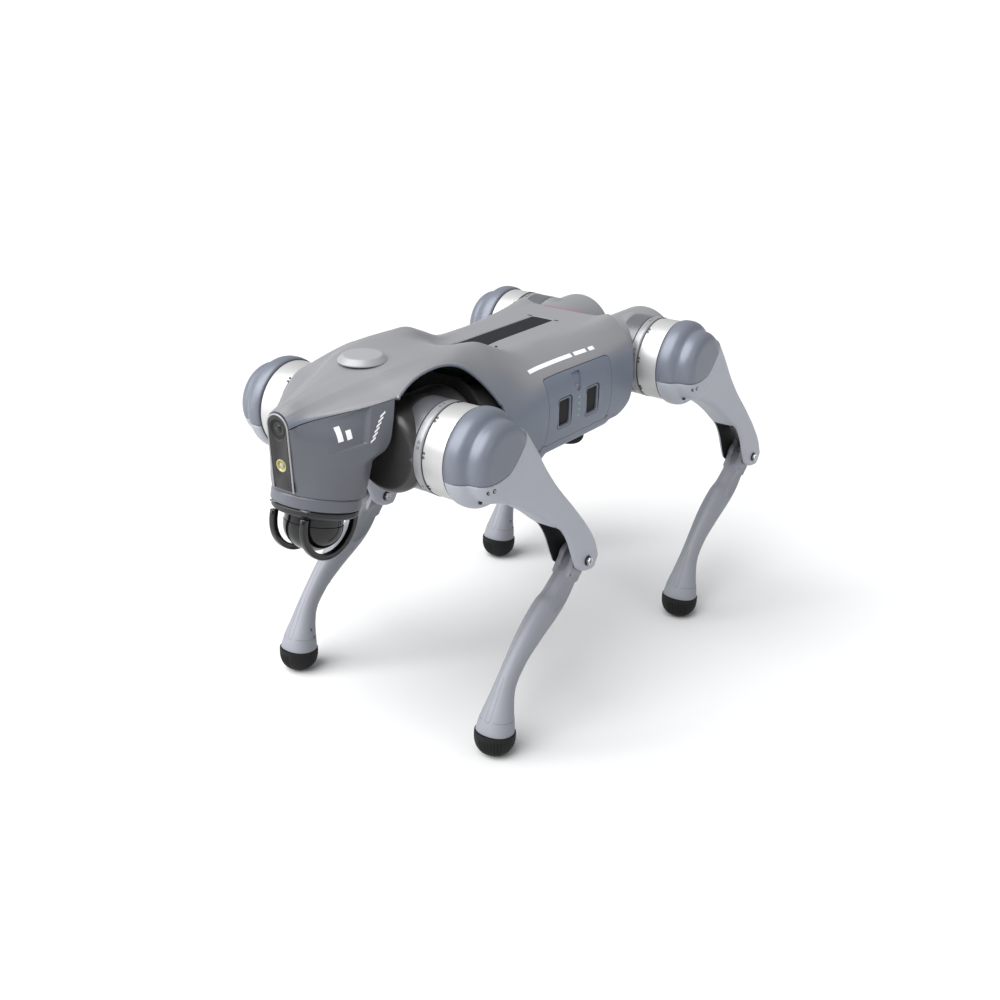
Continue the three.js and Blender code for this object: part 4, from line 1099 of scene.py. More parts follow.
# ---- Back: puck, strap, screws -------------------------------------------------------------------
def build_puck():
    low, high = node_box("antenna_puck")
    radius = (high.x - low.x) / 2
    middle = (low.x + high.x) / 2
    profile = rounded([(0, low.z - 1), (radius, low.z - 1), (radius, low.z + 0.4),
                       (radius - 4.9, high.z), (0, high.z)], 1.4, 5)
    on_trunk("puck_cover", turned("z", profile, (middle, 0, 0), 96), LIGHT_GREY,
             replaces=["antenna_puck"])


def build_strap():
    low, high = STRAP_LOW, STRAP_HIGH
    rows = 60
    across = np.linspace(-1, 1, 13)
    top, bottom = [], []
    for x in np.linspace(low.x + 0.4, high.x - 0.4, rows):
        crown = [high.z - 0.25 - 0.5 * abs(v) ** 6 for v in across]
        top.append([(x, v * (high.y - 0.3), z) for v, z in zip(across, crown)])
        bottom.append([(x, v * (high.y - 0.3), low.z + 0.1) for v in across[::-1]])
    rings = [a + b for a, b in zip(top, bottom)]
    on_trunk("strap_webbing", loft(rings), WEBBING, replaces=["carry_strap"])
    tabs = []
    for sign in SIDES.values():
        y = sign * (high.y + 3.6)
        tabs.append(bevelled(block((low.x - 1.5, low.x + 1.2), (y - 3, y + 3),
                                   (high.z - 1, high.z + 0.25)), 0.4, 2))
    on_trunk("strap_slots", merged(*tabs), BLACK)


# ---- Battery side --------------------------------------------------------------------------------
BATTERY_LOW, BATTERY_HIGH = node_box("battery_pack")
BATTERY_FACE = BATTERY_HIGH.y
BUTTON_SUNK = 2.0
CHARGE_LIGHT_Z = (-4.1, -11.3, -18.2, -25.3)
DOOR_BACK = 84  # the pack's case starts behind the door's own thickness
GRIP_DEPTH = 13
PAST_DOOR = 120
BUTTON_X, _, BUTTON_Z = (node_box("power_button")[0] + node_box("power_button")[1]) / 2
GRIP_BOXES = {box["name"]: box["box_m"] for box in frame["record"]["physics"]["openings"]}


def grip_edges(name):
    """The grip's own edges (x, x, z, z): the opening in the record plus the latch beside it."""
    low, high = ((np.array(corner) - np.array(TRUNK)) / MM for corner in GRIP_BOXES[name])
    latch_low, latch_high = node_box(name.replace("grip", "battery_latch"))
    return (min(low[0], latch_low.x) - 0.5, max(high[0], latch_high.x) + 0.5,
            min(low[2], latch_low.z) - 0.5, max(high[2], latch_high.z) + 0.5)


def rounded_box(edges, shrink, radius):
    x0, x1, z0, z1 = edges
    x0, x1, z0, z1 = x0 + shrink, x1 - shrink, z0 + shrink, z1 - shrink
    return rounded_loop([(x0, z0), (x1, z0), (x1, z1), (x0, z1)], radius)


def slot_outline(grow=0.0):
    """The sunk patch around the power button: a tongue down from the door's upper edge."""
    tongue = [(-8.5, 23.4), (7.6, 23.4), (6.6, 14), (4.6, BUTTON_Z), (2.4, BUTTON_Z - 4),
              (-2.4, BUTTON_Z - 4), (-4.6, BUTTON_Z), (-7.5, 14)]
    outline = rounded_loop([(BUTTON_X + across, z) for across, z in tongue], 1.8)
    middle = np.mean(outline, axis=0)
    return [tuple(p + (p - middle) / np.linalg.norm(p - middle) * grow) for p in np.array(outline)]


GRIPS = [grip_edges(name) for name in ("grip_front", "grip_rear")]


def build_battery_door():
    door = trimmed(FULL_SKIN, in_outline(battery_outline(-0.1)))
    holes = [rounded_box(edges, -1.9, 5) for edges in GRIPS]
    for hole in (*holes, slot_outline()):
        door = trimmed(door, outside_outline(hole))
    on_trunk("battery_door", thickened(door, 3, 0.7), DOOR_GREY, "battery", ["battery_pack"],
             50)


def build_battery_case():
    case = block((BATTERY_LOW.x + 2, BATTERY_HIGH.x - 2), (BATTERY_LOW.y + 1, DOOR_BACK),
                 (BATTERY_LOW.z + 5, BATTERY_HIGH.z - 2))
    case = cut(case, *(prism(rounded_box(edges, 0.6, 3), (BATTERY_FACE - GRIP_DEPTH, PAST_DOOR))
                       for edges in GRIPS))
    on_trunk("battery_body", bevelled(case, 1.5, 2), BLACK, "battery")


def build_grips():
    """The raised frame in each finger grip and the groove around it."""
    frames, grooves = [], []
    for edges in GRIPS:
        ring = cut(prism(rounded_box(edges, -1.7, 5), (DOOR_BACK - 3, BATTERY_FACE + 1.3)),
                   prism(rounded_box(edges, 1.0, 3), (0, PAST_DOOR)))
        frames.append(bevelled(ring, 1.0, 3))
        rim = [(x, 0, z) for x, z in rounded_box(edges, -2.0, 5)]
        grooves.append(tube(projected(FULL_TREE, [*rim, rim[0]], RIGHT, -0.1), 0.4))
    on_trunk("grip_frames", merged(*frames), DOOR_GREY, "battery")
    on_trunk("grip_grooves", merged(*grooves), SEAM, "battery")


def build_latches():
    for end in ENDS:
        low, high = node_box(f"battery_latch_{end}")
        paddle = block((low.x + 0.3, high.x - 0.3), (low.y, high.y + 0.6), (low.z + 2, high.z - 2))
        on_trunk(f"latch_paddle_{end}", bevelled(paddle, 1.6, 4), DARK_METAL, f"latch_{end}",
                 [f"battery_latch_{end}"])


def build_button():
    """The power button in its sunk patch of the door, and the charge lights under it."""
    floor = thickened(trimmed(FULL_SKIN, in_outline(slot_outline(0.5))), 1.2)
    on_trunk("button_recess", moved(floor, (0, -BUTTON_SUNK, 0)), DOOR_GREY, "battery")
    low, high = node_box("power_button")
    radius = (high.x - low.x) / 2
    profile = rounded([(0, low.y), (radius, low.y), (radius, high.y), (0, high.y)], 0.6)
    on_trunk("button_cap", turned("y", profile, (BUTTON_X, 0, BUTTON_Z), 40), DOOR_GREY, "button",
             ["power_button"])
    places = projected(FULL_TREE, [(BUTTON_X, 0, z) for z in CHARGE_LIGHT_Z], RIGHT)
    lights = [screw(place, LEFT, 0.85, 0.15) for place in places]
    on_trunk("charge_lights", merged(*lights), CHARGE_LIGHT, "battery")


STRIPES = (44, -36), (-41, -62), (-67, -76)  # front and rear end of each
STRIPE_LOW, STRIPE_HIGH = 35.0, 38.0


def build_side_marks():
    """The joint lines beside the battery door and the plain stripes above it."""
    low, high = BATTERY_LOW, BATTERY_HIGH
    seams = []
    for x, foot_z in ((high.x + 1.5, -53.6), (low.x - 1.5, -50.5)):
        seams.append(seam(FULL_TREE, [(x, 99, low.z + 3), (x + 0.4, 99, foot_z)], RIGHT, 0.42, 20))
    spots = projected(FULL_TREE, [(high.x + 4.6, 0, -50.5), (low.x - 3.6, 0, -46)], RIGHT)
    notches = [screw(place, (0, 1, -0.3), 1.7, 0.1) for place in spots]
    on_trunk("side_seams", merged(*seams, *notches), SEAM)
    stripes = []
    for x0, x1 in STRIPES:
        outline = [(x, 90, z) for x, z in ((x0, STRIPE_LOW), (x1, STRIPE_LOW),
                                           (x1, STRIPE_HIGH), (x0, STRIPE_HIGH))]
        stripes.append(decal(FULL_TREE, outline, RIGHT, rows=24))
    on_trunk("side_stripe", merged(*stripes), WHITE_PRINT)


# ---- Belly ---------------------------------------------------------------------------------------
BELLY_PAD_R = 17


def build_belly_tray():
    low, high = node_box("belly_cover")
    levels = [(131, 84, high.z), (126, 79, low.z + 9), (118, 70, low.z + 3), (108, 60, low.z)]
    rings = []
    for x, y, z in levels:
        corners = rounded_loop([(-x, -y), (x, -y), (x, y), (-x, y)], 22, 6)
        rings.append([(px, py, z) for px, py in corners])
    on_trunk("belly_tray", bevelled(loft(rings), 1.2, 2, 25), DOOR_GREY,
             replaces=["belly_cover"])


def build_belly_pads():
    low, high = node_box("belly_pads")
    radius = BELLY_PAD_R
    profile = rounded([(0, low.z), (radius - 4, low.z), (radius, low.z + 5), (radius, high.z)],
                      3, 5)
    places = [((high.x - radius) * ahead, (high.y - radius) * beside, 0)
              for ahead in (1, -1) for beside in (1, -1)]
    pads = [turned("z", [*profile, (0, high.z)], place, 56) for place in places]
    web = bevelled(block((low.x + radius, high.x - radius), (low.y + radius, high.y - radius),
                         (high.z - 2.7, high.z)), 1, 2)
    on_trunk("rest_pads", merged(web, *pads), RUBBER, replaces=["belly_pads"])


# ---- Legs: millimetres from the hip, y from the trunk's middle, left side ------------------------
BARREL_R = 44
DRUM_R = 46.5
DRUM_END = 93.6
COLLAR_END = 83
RING_R = 46.8
FRAME_IN = 120.3
FRAME_OUT = 161


def screw_pairs(radius, y, degrees, spread, size, proud):
    """Pairs of screws around a drum on the thigh axis, each pair at one of the angles."""
    screws = []
    for middle in degrees:
        for angle in np.radians((middle - spread, middle + spread)):
            out = np.array((math.cos(angle), 0, math.sin(angle)))
            screws.append(screw(radius * out + (0, y, 0), out, size, proud))
    return merged(*screws)


def build_hip_castings():
    for end in ENDS:
        low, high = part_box(f"hip_housing_{end}_left")
        hip = TRUNK.x + ENDS[end] * HIP_X * MM
        back, ahead = (low.x - hip) / MM, (high.x - hip) / MM
        barrel = rounded([(0, back), (BARREL_R - 5, back), (BARREL_R, back + 6),
                          (BARREL_R, ahead - 6), (BARREL_R - 5, ahead), (0, ahead)], 3, 4)
        drum = rounded([(0, HIP_Y - 6), (36, HIP_Y - 5), (DRUM_R - 1, HIP_Y + 4), (DRUM_R, HIP_Y + 8),
                        (DRUM_R, 62)], 3, 4)
        drum = [*drum, (0, 62)]
        body = merged(turned("x", barrel, (0, HIP_Y, 0), 80), turned("y", drum, sides=80))
        # Rear castings take the light lip grey. Front ones take charcoal, partly for their own dark front end and
        # partly as painted shade for the drum shadowed under the arch.
        on_legs("hip_casting", fused(body, 1.6, 6, 0.5), LIP_GREY if end == "rear" else CHARCOAL,
                "hip", ["hip_housing"], 60, (end,))


def build_hip_collars():
    """The drum's outer end: dark collar, light lip and its pairs of screws."""
    collar = rounded([(0, 61), (DRUM_R - 0.6, 61), (DRUM_R - 0.6, 62), (DRUM_R, 62.6),
                      (DRUM_R, COLLAR_END)], 0.5, 3)
    on_legs("hip_collar", turned("y", [*collar, (0, COLLAR_END)], sides=120), HOUSING, "hip")
    lip = rounded([(0, COLLAR_END), (DRUM_R - 1.4, COLLAR_END),
                   (DRUM_R - 1.4, COLLAR_END + 0.8), (DRUM_R + 0.3, COLLAR_END + 1.4),
                   (DRUM_R + 0.3, DRUM_END - 2), (DRUM_R - 1, DRUM_END)], 0.5, 3)
    on_legs("hip_lip", turned("y", [*lip, (0, DRUM_END)], sides=120), LIP_GREY, "hip")
    screws = screw_pairs(DRUM_R, COLLAR_END + 5.5, range(20, 380, 60), 3.4, 1.5, 0.35)
    on_legs("hip_screws", screws, DARK_METAL, "hip")


def build_knee_motors():
    start = DRUM_END + 0.6
    profile = rounded([(0, start), (RING_R - 1.2, start), (RING_R - 0.2, start + 1.2),
                       (RING_R, FRAME_IN - 1), (RING_R - 0.8, FRAME_IN)], 0.6, 3)
    on_legs("motor_ring", turned("y", [*profile, (0, FRAME_IN)], sides=144), SILVER, "thigh",
            ["knee_motor"])
    seams = []
    ring = [(RING_R - 0.1) * np.array((math.cos(a), 0, math.sin(a)))
            for a in np.linspace(0, 2 * math.pi, 97)]
    for y, radius in ((start + 0.2, 0.5), (FRAME_IN, 0.8)):
        seams.append(tube([point + (0, y, 0) for point in ring], radius))
    on_legs("motor_seams", merged(*seams), SEAM, "thigh")
    screws = screw_pairs(RING_R, start + 2.4, range(10, 370, 45), 2.6, 1.3, 0.3)
    on_legs("motor_screws", screws, DARK_METAL, "thigh")


# The thigh's outer dome, (radius, y), the cap's edge on it, and the arm's edges, (ahead, down).
DOME_PROFILE = [(46.8, FRAME_IN), (48.6, 122.2), (49.3, 125), (49.5, 129), (49.2, 133), (48.0, 136.6),
                (45.6, 139.8), (43.2, 141.7), (41.6, 142.9), (40.7, 144.4), (40.5, 146.6),
                (40.4, 149.6), (39.6, 152.8), (37.6, 156.4), (34.2, 159.4), (29.5, 160.8),
                (22, 161), (0, 161)]
CAP_EDGE = [(60, -40), (60, -80), (-80, -80), (-80, 9), (-30, 10), (-11, 11), (3, 10), (14, 4),
            (37, -18)]
ARM_FRONT = [(34, 8), (30, 26), (19, 56), (9.5, 92), (4.5, 120), (0.5, 146), (3.5, 166), (10.5, 186),
             (16, 203)]
ARM_REAR = [(-45, 0), (-41, 36), (-35, 70), (-31.5, 110), (-30.5, 150), (-29.5, 188), (-26, 212),
            (-18, 229)]
KNEE_END = (203, 232.5)
FORK_HALF = 13.6
FORK_TOP = 137  # the fork's mouth, down from the thigh axis
FORK_BACK = -20.5  # the fork's rear wall, inside
FORK_OPEN = 190  # the rear wall ends here, down from the thigh axis
CHANNEL_HALF = 4.6  # of the rod's way down the arm
PAST_ARM, PAST_KNEE = 60, 300


def arm_rings():
    """Sections of the thigh arm, square to the thigh, from the root down to the knee."""
    front = smooth_path(ARM_FRONT, 60)
    rear = smooth_path(ARM_REAR, 60)
    rings = []
    for down in np.concatenate([np.linspace(8, 200, 40), np.linspace(203, 231.5, 12)]):
        ahead = np.interp(down, front[:, 1], front[:, 0])
        behind = np.interp(down, rear[:, 1], rear[:, 0])
        if down > KNEE_END[0]:
            sag = (down - KNEE_END[0]) / (KNEE_END[1] - KNEE_END[0])
            ahead = ARM_FRONT[-1][0] * math.sqrt(max(1 - sag**2.4, 0)) - 4 * sag
            behind = min(behind, ahead - 2) if sag < 0.9 else ahead - 6
        middle, half = (ahead + behind) / 2, (ahead - behind) / 2
        thick = np.interp(down, [0, 60, 150, 232], [19, 18.6, 18.2, 18.8])
        power = np.interp(down, [100, 140], [0.5, 0.34])
        ring = []
        for angle in np.arange(44) / 44 * 2 * math.pi:
            c, s = math.cos(angle), math.sin(angle)
            ring.append((middle + half * math.copysign(abs(c) ** power, c),
                         LEG_Y + thick * math.copysign(abs(s) ** power, s), -down))
        rings.append(ring)
    return rings


def cap_prism(grow):
    outline = [(x, -down - grow) for x, down in CAP_EDGE]
    outline = outline[:4] + [tuple(p) for p in smooth_path(outline[4:] + outline[:1], 30)[:-1]]
    return prism(outline, (FRAME_IN - 3, 200))


def thigh_body():
    profile = DOME_PROFILE
    at = chord(profile)
    fine = spline(profile, at, np.linspace(0, at[-1], 70))
    fine[:, 0] = np.maximum(fine[:, 0], 0)
    fine[-1] = (0, FRAME_OUT)
    dome = [(0, FRAME_IN), *map(tuple, fine)]
    return merged(turned("y", dome, sides=120), loft(arm_rings()))


def fork_inside(points):
    """Which thigh face centres lie inside the fork, and not on the arm's rear wall: these get painted shade."""
    lean = turn_y(points, -THIGH_LEAN)
    between_prongs = (abs(points[:, 1] - LEG_Y) < FORK_HALF + 0.2) & (lean[:, 2] < 3 - FORK_TOP)
    return between_prongs & ((lean[:, 0] > FORK_BACK - 1) | (lean[:, 2] < -FORK_OPEN))


def build_thighs():
    voxel = 1.0
    body = thigh_body()
    mass = fused(body, voxel, 2, 1.0)
    across = (LEG_Y - FORK_HALF, LEG_Y + FORK_HALF)
    mouth = bevelled(block((-4, PAST_ARM), across, (-PAST_KNEE, -FORK_TOP)), 3, 3)
    inner = block((FORK_BACK, PAST_ARM), across, (-PAST_KNEE, -150))
    end = block((-PAST_ARM, PAST_ARM), across, (-PAST_KNEE, -FORK_OPEN))
    channel = block((-19, -2.5), (LEG_Y - CHANNEL_HALF, LEG_Y + CHANNEL_HALF), (-160, 5))
    crank = disc(20, 122, 150, sides=40)
    frame_part = cut(mass, cap_prism(0.25), mouth, inner, end, channel, crank)
    frame_part = fused(frame_part, voxel, 2, 0.5)
    # The fork's insides get the shadow black as painted shade between the prongs.
    on_legs("thigh_arm", along_thigh(frame_part), LEG_GREY, "thigh", ["thigh_frame"], 60,
            dark=fork_inside)
    cap = common(mass, cap_prism(-0.25))
    cap = cut(cap, disc(34, 100, 149, sides=60))
    cap = fused(cap, voxel, 2, 0.5)
    on_legs("thigh_cover", along_thigh(cap), CAP_GREY, "thigh", ["thigh_cap"],
            60)
    tree = tree_of(mass)
    places = projected(tree, [(33.5, 0, 4.5), (28.5, 0, -0.2)], RIGHT)
    bright = [screw(place, LEFT, 1.3, 0.6) for place in places]
    on_legs("root_screws", along_thigh(merged(*bright)), STEEL, "thigh")
    wells = [screw(place, LEFT, 2.4, 0.15) for place in places]
    on_legs("root_wells", along_thigh(merged(*wells)), DARK_METAL, "thigh")
    dark = screw((40.6, 146, -9.6), (0.8, 0.1, -0.6), 1.9, 1.2)
    on_legs("root_plug", along_thigh(dark), DARK_METAL, "thigh")


def build_knee_bolts():
    half = FRAME_OUT - LEG_Y
    hexagon = [(4.6 * math.cos(a), 4.6 * math.sin(a)) for a in np.arange(6) * math.pi / 3]
    heads, washers = [], []
    for sign in (1, -1):
        face = LEG_Y + sign * half
        collar = [(0, -1), (5.6, -1), (5.6, 0.5), (5.0, 1.0), (0, 1.0)]
        points, faces = turned("y", collar, sides=40)
        washers.append((points * (1, sign, 1) + (0, face, -LINK), faces))
        head = prism(hexagon, sorted((face, face + sign * 3.9)))
        socket = disc(2.3, face + sign * 2.2, face + sign * 9, sides=6)
        heads.append(moved(bevelled(cut(head, socket), 0.5, 2), (0, 0, -LINK)))
    shank = disc(3.4, -half, half, (0, LEG_Y, -LINK), 32)
    on_legs("knee_bolt", along_thigh(merged(shank, *heads)), STEEL, "thigh", ["knee_pin"])
    on_legs("knee_washers", along_thigh(merged(*washers)), DARK_METAL, "thigh")


CALF_SECTIONS = [  # down from the knee, centre ahead of the knee-foot line, half depth, half width
    (14, -1, 13, 11.2), (34, 1, 16.6, 11.8), (50, 4.2, 17.6, 12.5), (60, 8.4, 19.0, 13),
    (68, 11.2, 18.6, 13.1), (98, 20.5, 15.5, 12.2), (130, 26, 12.2, 10.4), (156, 25.5, 12, 11),
    (178, 18, 16, 15.4), (190, 12.6, 19.4, 18.6), (200, 8.8, 20.8, 20.4), (210, 4.5, 21.4, 21.2),
    (218, 0, 21.4, 21.2), (226, -4, 20.4, 20.4),
]
SHANK_POWER = 0.93
BOSS_R, BOSS_HALF = 12.5, 11.6  # of the knee's eye at the calf's top
ROD_SWEEP = -64, 44  # degrees above the calf's ahead, about the pin on its lever
ROD_ROOM = 4.9  # from the rod's middle line
ROD_SLOT_HALF = 4.6
ROD_SLOT_REACH = 40
BOOT_TOP = 4.5  # the joint of calf and boot, above the ball of the foot
BOOT_RISE = math.tan(math.radians(6.8))  # that joint rises forwards


def calf_ring(down, ahead, depth, width, count=64):
    ring = []
    for angle in np.arange(count) / count * 2 * math.pi:
        c, s = math.cos(angle), math.sin(angle)
        ring.append((ahead + depth * math.copysign(abs(c) ** SHANK_POWER, c),
                     LEG_Y + width * math.copysign(abs(s) ** SHANK_POWER, s), -down))
    return ring


def shank():
    sections = np.array(CALF_SECTIONS, float)
    fine = spline(sections, sections[:, 0], np.linspace(14, 226, 110))
    return loft([calf_ring(*row) for row in fine])


def crank_pin():
    """The rod's pin on the motor's crank, from the thigh axis."""
    place = joint_at("rod_turn_front_left") - THIGH_AXIS
    return place.x / MM, place.z / MM


def lever_pin():
    """The rod's pin on the calf's lever, from the knee, in the calf's own axes."""
    px, pz = crank_pin()
    x, _, z = turn_y([(px, 0, pz)], -CALF_LEAN)[0]
    return x, z


def rod_slot():
    """Outline of the room that the rod sweeps in the calf, in the calf's own axes."""
    x, z = lever_pin()
    low, high = np.radians(ROD_SWEEP)
    back = [(x + ROD_ROOM * math.cos(a), z + ROD_ROOM * math.sin(a))
            for a in np.linspace(high + math.pi / 2, low + 3 * math.pi / 2, 9)]
    ends = [(start[0] + ROD_SLOT_REACH * math.cos(a), start[1] + ROD_SLOT_REACH * math.sin(a))
            for start, a in ((back[-1], low), (back[0], high))]
    ahead = (x + ROD_SLOT_REACH * 1.3, z + ROD_SLOT_REACH * 1.3 * math.sin((low + high) / 2))
    return [*back, ends[0], ahead, ends[1]]


def above_boot(points):
    """Height above the joint of calf and boot."""
    return points[:, 2] - FOOT[2] - BOOT_TOP - BOOT_RISE * (points[:, 0] - FOOT[0])


def egg(radii, lean, place):
    """An ellipsoid to scoop with."""
    profile = [(math.sin(a), -math.cos(a)) for a in np.linspace(0, math.pi, 25)]
    points, faces = turned("z", profile, sides=56)
    return turn_y(points * radii, lean) + np.asarray(place, float), faces


def build_calves():
    voxel = 0.9
    boss = turned("y", rounded([(0, -BOSS_HALF), (BOSS_R, -BOSS_HALF), (BOSS_R, BOSS_HALF),
                                (0, BOSS_HALF)], 1.5), (0, LEG_Y, 0), 64)
    neck = block((-12.4, 11.4), (LEG_Y - 11.2, LEG_Y + 11.2), (-24, 0))
    x, z = lever_pin()
    ear = disc(5, -BOSS_HALF, BOSS_HALF, (x, LEG_Y, z), 32)
    reach = np.array([x, 0, z])
    side = np.array([-z, 0, x]) / np.hypot(x, z) * 4.8
    arm = prism([(p[0], p[2]) for p in (side, reach + side, reach - side, -side)],
                (LEG_Y - BOSS_HALF, LEG_Y + BOSS_HALF))
    mass = fused(merged(shank(), boss, neck, ear, arm), voxel, 3, 1.0)
    slot = prism(rod_slot(), (LEG_Y - ROD_SLOT_HALF, LEG_Y + ROD_SLOT_HALF))
    scoops = [egg((15, 10, 36), -0.46, (3.5, LEG_Y + sign * 17.4, -37)) for sign in (1, -1)]
    whole = along_calf(cut(mass, slot, *scoops))
    smooth = fused(whole, voxel, 1, 1.0)
    upper = trimmed(smooth, lambda p: above_boot(p) - 0.2)
    on_legs("calf_shank", modified(upper, ("DECIMATE", dict(ratio=0.6))), CALF_SHADE_GREY, "calf",
            ["calf"], 50)
    build_boots()
    build_calf_lines(tree_of(smooth))


BOOT_POWER = 2.4  # 2 would be a ball, more is boxier
RIBS = 40  # around the whole boot, but only one side has them
RIB_SIDE = math.radians(24)  # the middle of the ribbed side, from straight ahead


def build_boots():
    levels = np.concatenate([np.linspace(10, -12, 23), np.linspace(-13, -21.9, 12)])
    count = 240
    angles = np.arange(count) / count * 2 * math.pi
    ribbed_side = np.clip((np.cos(angles - RIB_SIDE) - 0.77) / 0.06, 0, 1)
    wave = np.clip(np.cos(angles * RIBS) - 0.2, 0, 0.5) / 0.5
    rings = []
    for up in levels:
        radius = FOOT_R * (1.0002 - abs(up / FOOT_R) ** BOOT_POWER) ** (1 / BOOT_POWER)
        band = np.clip((2.5 - up) / 1.5, 0, 1) * np.clip((up + 15.5) / 2, 0, 1)
        radii = radius - wave * ribbed_side * band
        rings.append(np.stack([FOOT[0] + radii * np.cos(angles), LEG_Y + radii * np.sin(angles),
                               np.full(count, FOOT[2] + up)], axis=1))
    boot = facing_out(loft(rings), (FOOT[0], LEG_Y, FOOT[2] - 5))
    boot = trimmed(boot, lambda p: -above_boot(p) - 0.1)
    boot = thickened(boot, 2.2, 0.5)
    on_legs("foot_boot", boot, RUBBER, "calf", ["foot"], 60)


# The moulded strip down the calf's front: distance down from the knee, half width.
STRIP = [(20, 0.6), (60, 1.0), (110, 1.6), (150, 2.2), (180, 2.8), (196, 2.8)]
RING_JOINT_UP = 14.5  # above the boot's joint
# Plugs on the calf's inner side: place in the calf's axes, way it faces, radius.
INNER_PLUGS = [((12, 90, -186), RIGHT, 2.0), ((21, 90, -180), (0.35, -1, 0.15), 2.0),
               ((18, 90, -120), RIGHT, 1.2), ((10, 90, -74), RIGHT, 1.2)]
OUTER_PLUG = (8.7, 190, -22.4)


def strip_lines(tree):
    """Both edges of the moulded strip, the outer one from half way down, and its round end."""
    front = turn_y([(-1, 0, 0)], CALF_LEAN)[0]
    down, half = STRIP[-1]
    outer, inner = ([(60, LEG_Y + sign * width, -at) for at, width in STRIP] for sign in (1, -1))
    turn = [(60, LEG_Y + half * math.cos(a), -down - half * math.sin(a))
            for a in np.linspace(0, math.pi, 9)]
    return [seam(tree, calf_points(inner), front, 0.22, 90),
            seam(tree, calf_points(outer[3:]), front, 0.22, 90),
            seam(tree, calf_points(turn), front, 0.25, 20)]


def ring_line(tree):
    """The ring joint above the boot, open at the back."""
    around = []
    for angle in np.radians(np.arange(28, 333, 5)):
        reach = np.array([math.cos(angle), math.sin(angle), 0])
        start = np.array([FOOT[0], LEG_Y, FOOT[2] + BOOT_TOP + RING_JOINT_UP]) + 60 * reach
        start[2] += BOOT_RISE * reach[0] * 20
        around += list(projected(tree, [start], -reach))
    return tube(around, 0.25)


def build_calf_lines(tree):
    on_legs("calf_seams", merged(*strip_lines(tree), ring_line(tree)), LINE_GREY, "calf")
    plugs = []
    for place, facing, radius in INNER_PLUGS:
        landed = projected(tree, calf_points([place]), LEFT)
        plugs += [screw(point, facing, radius, 0.0) for point in landed]
    landed = projected(tree, calf_points([OUTER_PLUG]), RIGHT)
    plugs += [screw(point, LEFT, 1.2, 0.15) for point in landed]
    on_legs("calf_screws", merged(*plugs), DARK_METAL, "calf")


# ---- CAD nodes that stay -------------------------------------------------------------------------
def dress_cad_nodes():
    looks = {"trunk_frame": CHARCOAL, "main_board": BOARD}
    kinds = {"hip_motor": CHARCOAL, "knee_crank": DARK_METAL, "knee_rod": STEEL}
    for name, node in frame["nodes"].items():
        kind = next((look for start, look in kinds.items() if name.startswith(start)), None)
        material = looks.get(name, kind)
        if material is None:
            continue
        node.data.materials.clear()
        node.data.materials.append(material)
        edge = node.modifiers.new("edges", "BEVEL")
        edge.width = 0.6 * MM
        edge.segments = 2
        edge.limit_method = "ANGLE"


# ---- Floor, light and camera ---------------------------------------------------------------------
def build_stage():
    material, tree, shader, place = new_material("pale_floor")
    tint(tree, shader, noise(tree, place, 3, 4), (0.64, 0.64, 0.64), (0.66, 0.66, 0.66))
    constants(shader, Roughness=0.7)
    mesh = bpy.data.meshes.new("floor")
    half = 30
    mesh.from_pydata([(-half, -half, 0), (half, -half, 0), (half, half, 0), (-half, half, 0)], [],
                     [(0, 1, 2, 3)])
    mesh.materials.append(material)
    floor = new_object("floor", mesh)
    world = bpy.data.worlds.new("studio")
    world.use_nodes = True
    constants(world.node_tree.nodes["Background"], Color=(0.96, 0.98, 1, 1), Strength=0.44)
    bpy.context.scene.world = world


def area_light(name, place, target, size, power, colour=(1, 1, 1)):
    data = bpy.data.lights.new(name, "AREA")
    data.shape = "RECTANGLE"
    data.size, data.size_y = size
    data.energy = power
    data.color = colour
    light = new_object(name, data)
    light.location = place
    aim = Vector(target) - Vector(place)
    light.rotation_euler = aim.to_track_quat("-Z", "Y").to_euler()


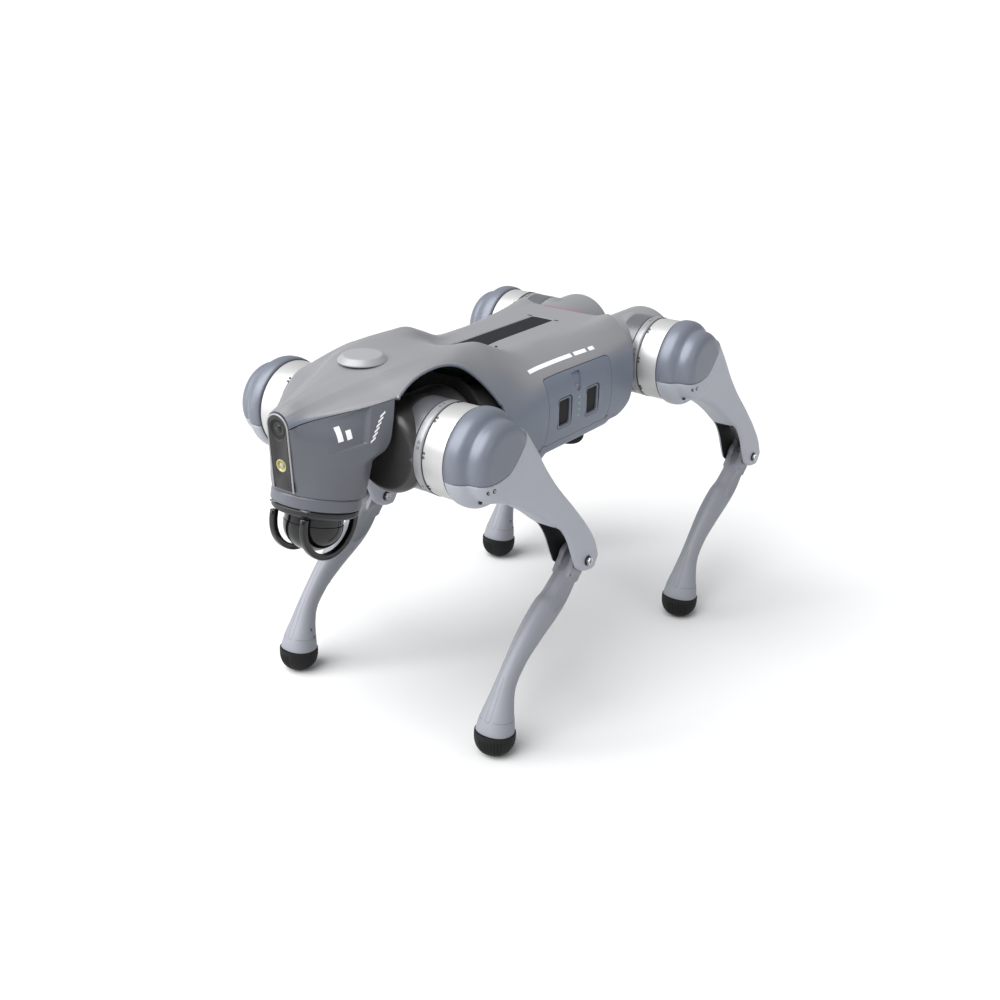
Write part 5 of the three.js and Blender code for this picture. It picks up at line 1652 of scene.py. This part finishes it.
def build_lights():
    data = bpy.data.lights.new("sky_panel", "SUN")
    data.energy = 5.2
    data.angle = math.radians(68)
    sky = new_object("sky_panel", data)
    sky.rotation_euler = Vector((-0.54, 0.23, -0.81)).to_track_quat("-Z", "Y").to_euler()
    area_light("front_strip", (1.5, -1.5, 0.9), (0.1, 0, 0.3), (0.5, 1.4), 9)
    area_light("left_softbox", (0.4, 2.6, 1.5), (0, 0, 0.25), (1.2, 1.0), 7, (0.94, 0.97, 1))
    bpy.context.scene.view_settings.view_transform = "Standard"


CAMERA_AT = (1.1102 + TRUNK.x, 0.8285, 0.45095 + TRUNK.z)
CAMERA_YAW = math.radians(-143.574)
CAMERA_PITCH = math.radians(-23.219)
CAMERA_ROLL = math.radians(0.698)
FOCAL_SHARE = 1.306  # focal length over the sensor's width


def build_camera():
    ahead = Vector((math.cos(CAMERA_YAW) * math.cos(CAMERA_PITCH),
                    math.sin(CAMERA_YAW) * math.cos(CAMERA_PITCH), math.sin(CAMERA_PITCH)))
    level = ahead.cross(Vector(UP)).normalized()
    above = level.cross(ahead)
    right = level * math.cos(CAMERA_ROLL) + above * math.sin(CAMERA_ROLL)
    up = above * math.cos(CAMERA_ROLL) - level * math.sin(CAMERA_ROLL)
    data = bpy.data.cameras.new("camera")
    data.sensor_width = 36
    data.lens = FOCAL_SHARE * data.sensor_width
    camera = new_object("camera", data)
    camera.matrix_world = Matrix((
        (right.x, up.x, -ahead.x, CAMERA_AT[0]),
        (right.y, up.y, -ahead.y, CAMERA_AT[1]),
        (right.z, up.z, -ahead.z, CAMERA_AT[2]),
        (0, 0, 0, 1)))
    bpy.context.scene.camera = camera


build_top_shell()
build_tail()
build_head()
build_face_panel()
build_eye()
build_lamp()
build_head_marks()
build_scanner()
build_guards()
build_puck()
build_strap()
build_battery_door()
build_battery_case()
build_grips()
build_latches()
build_button()
build_side_marks()
build_belly_tray()
build_belly_pads()
build_hip_castings()
build_hip_collars()
build_knee_motors()
build_thighs()
build_knee_bolts()
build_calves()
dress_cad_nodes()
build_stage()
build_lights()
build_camera()
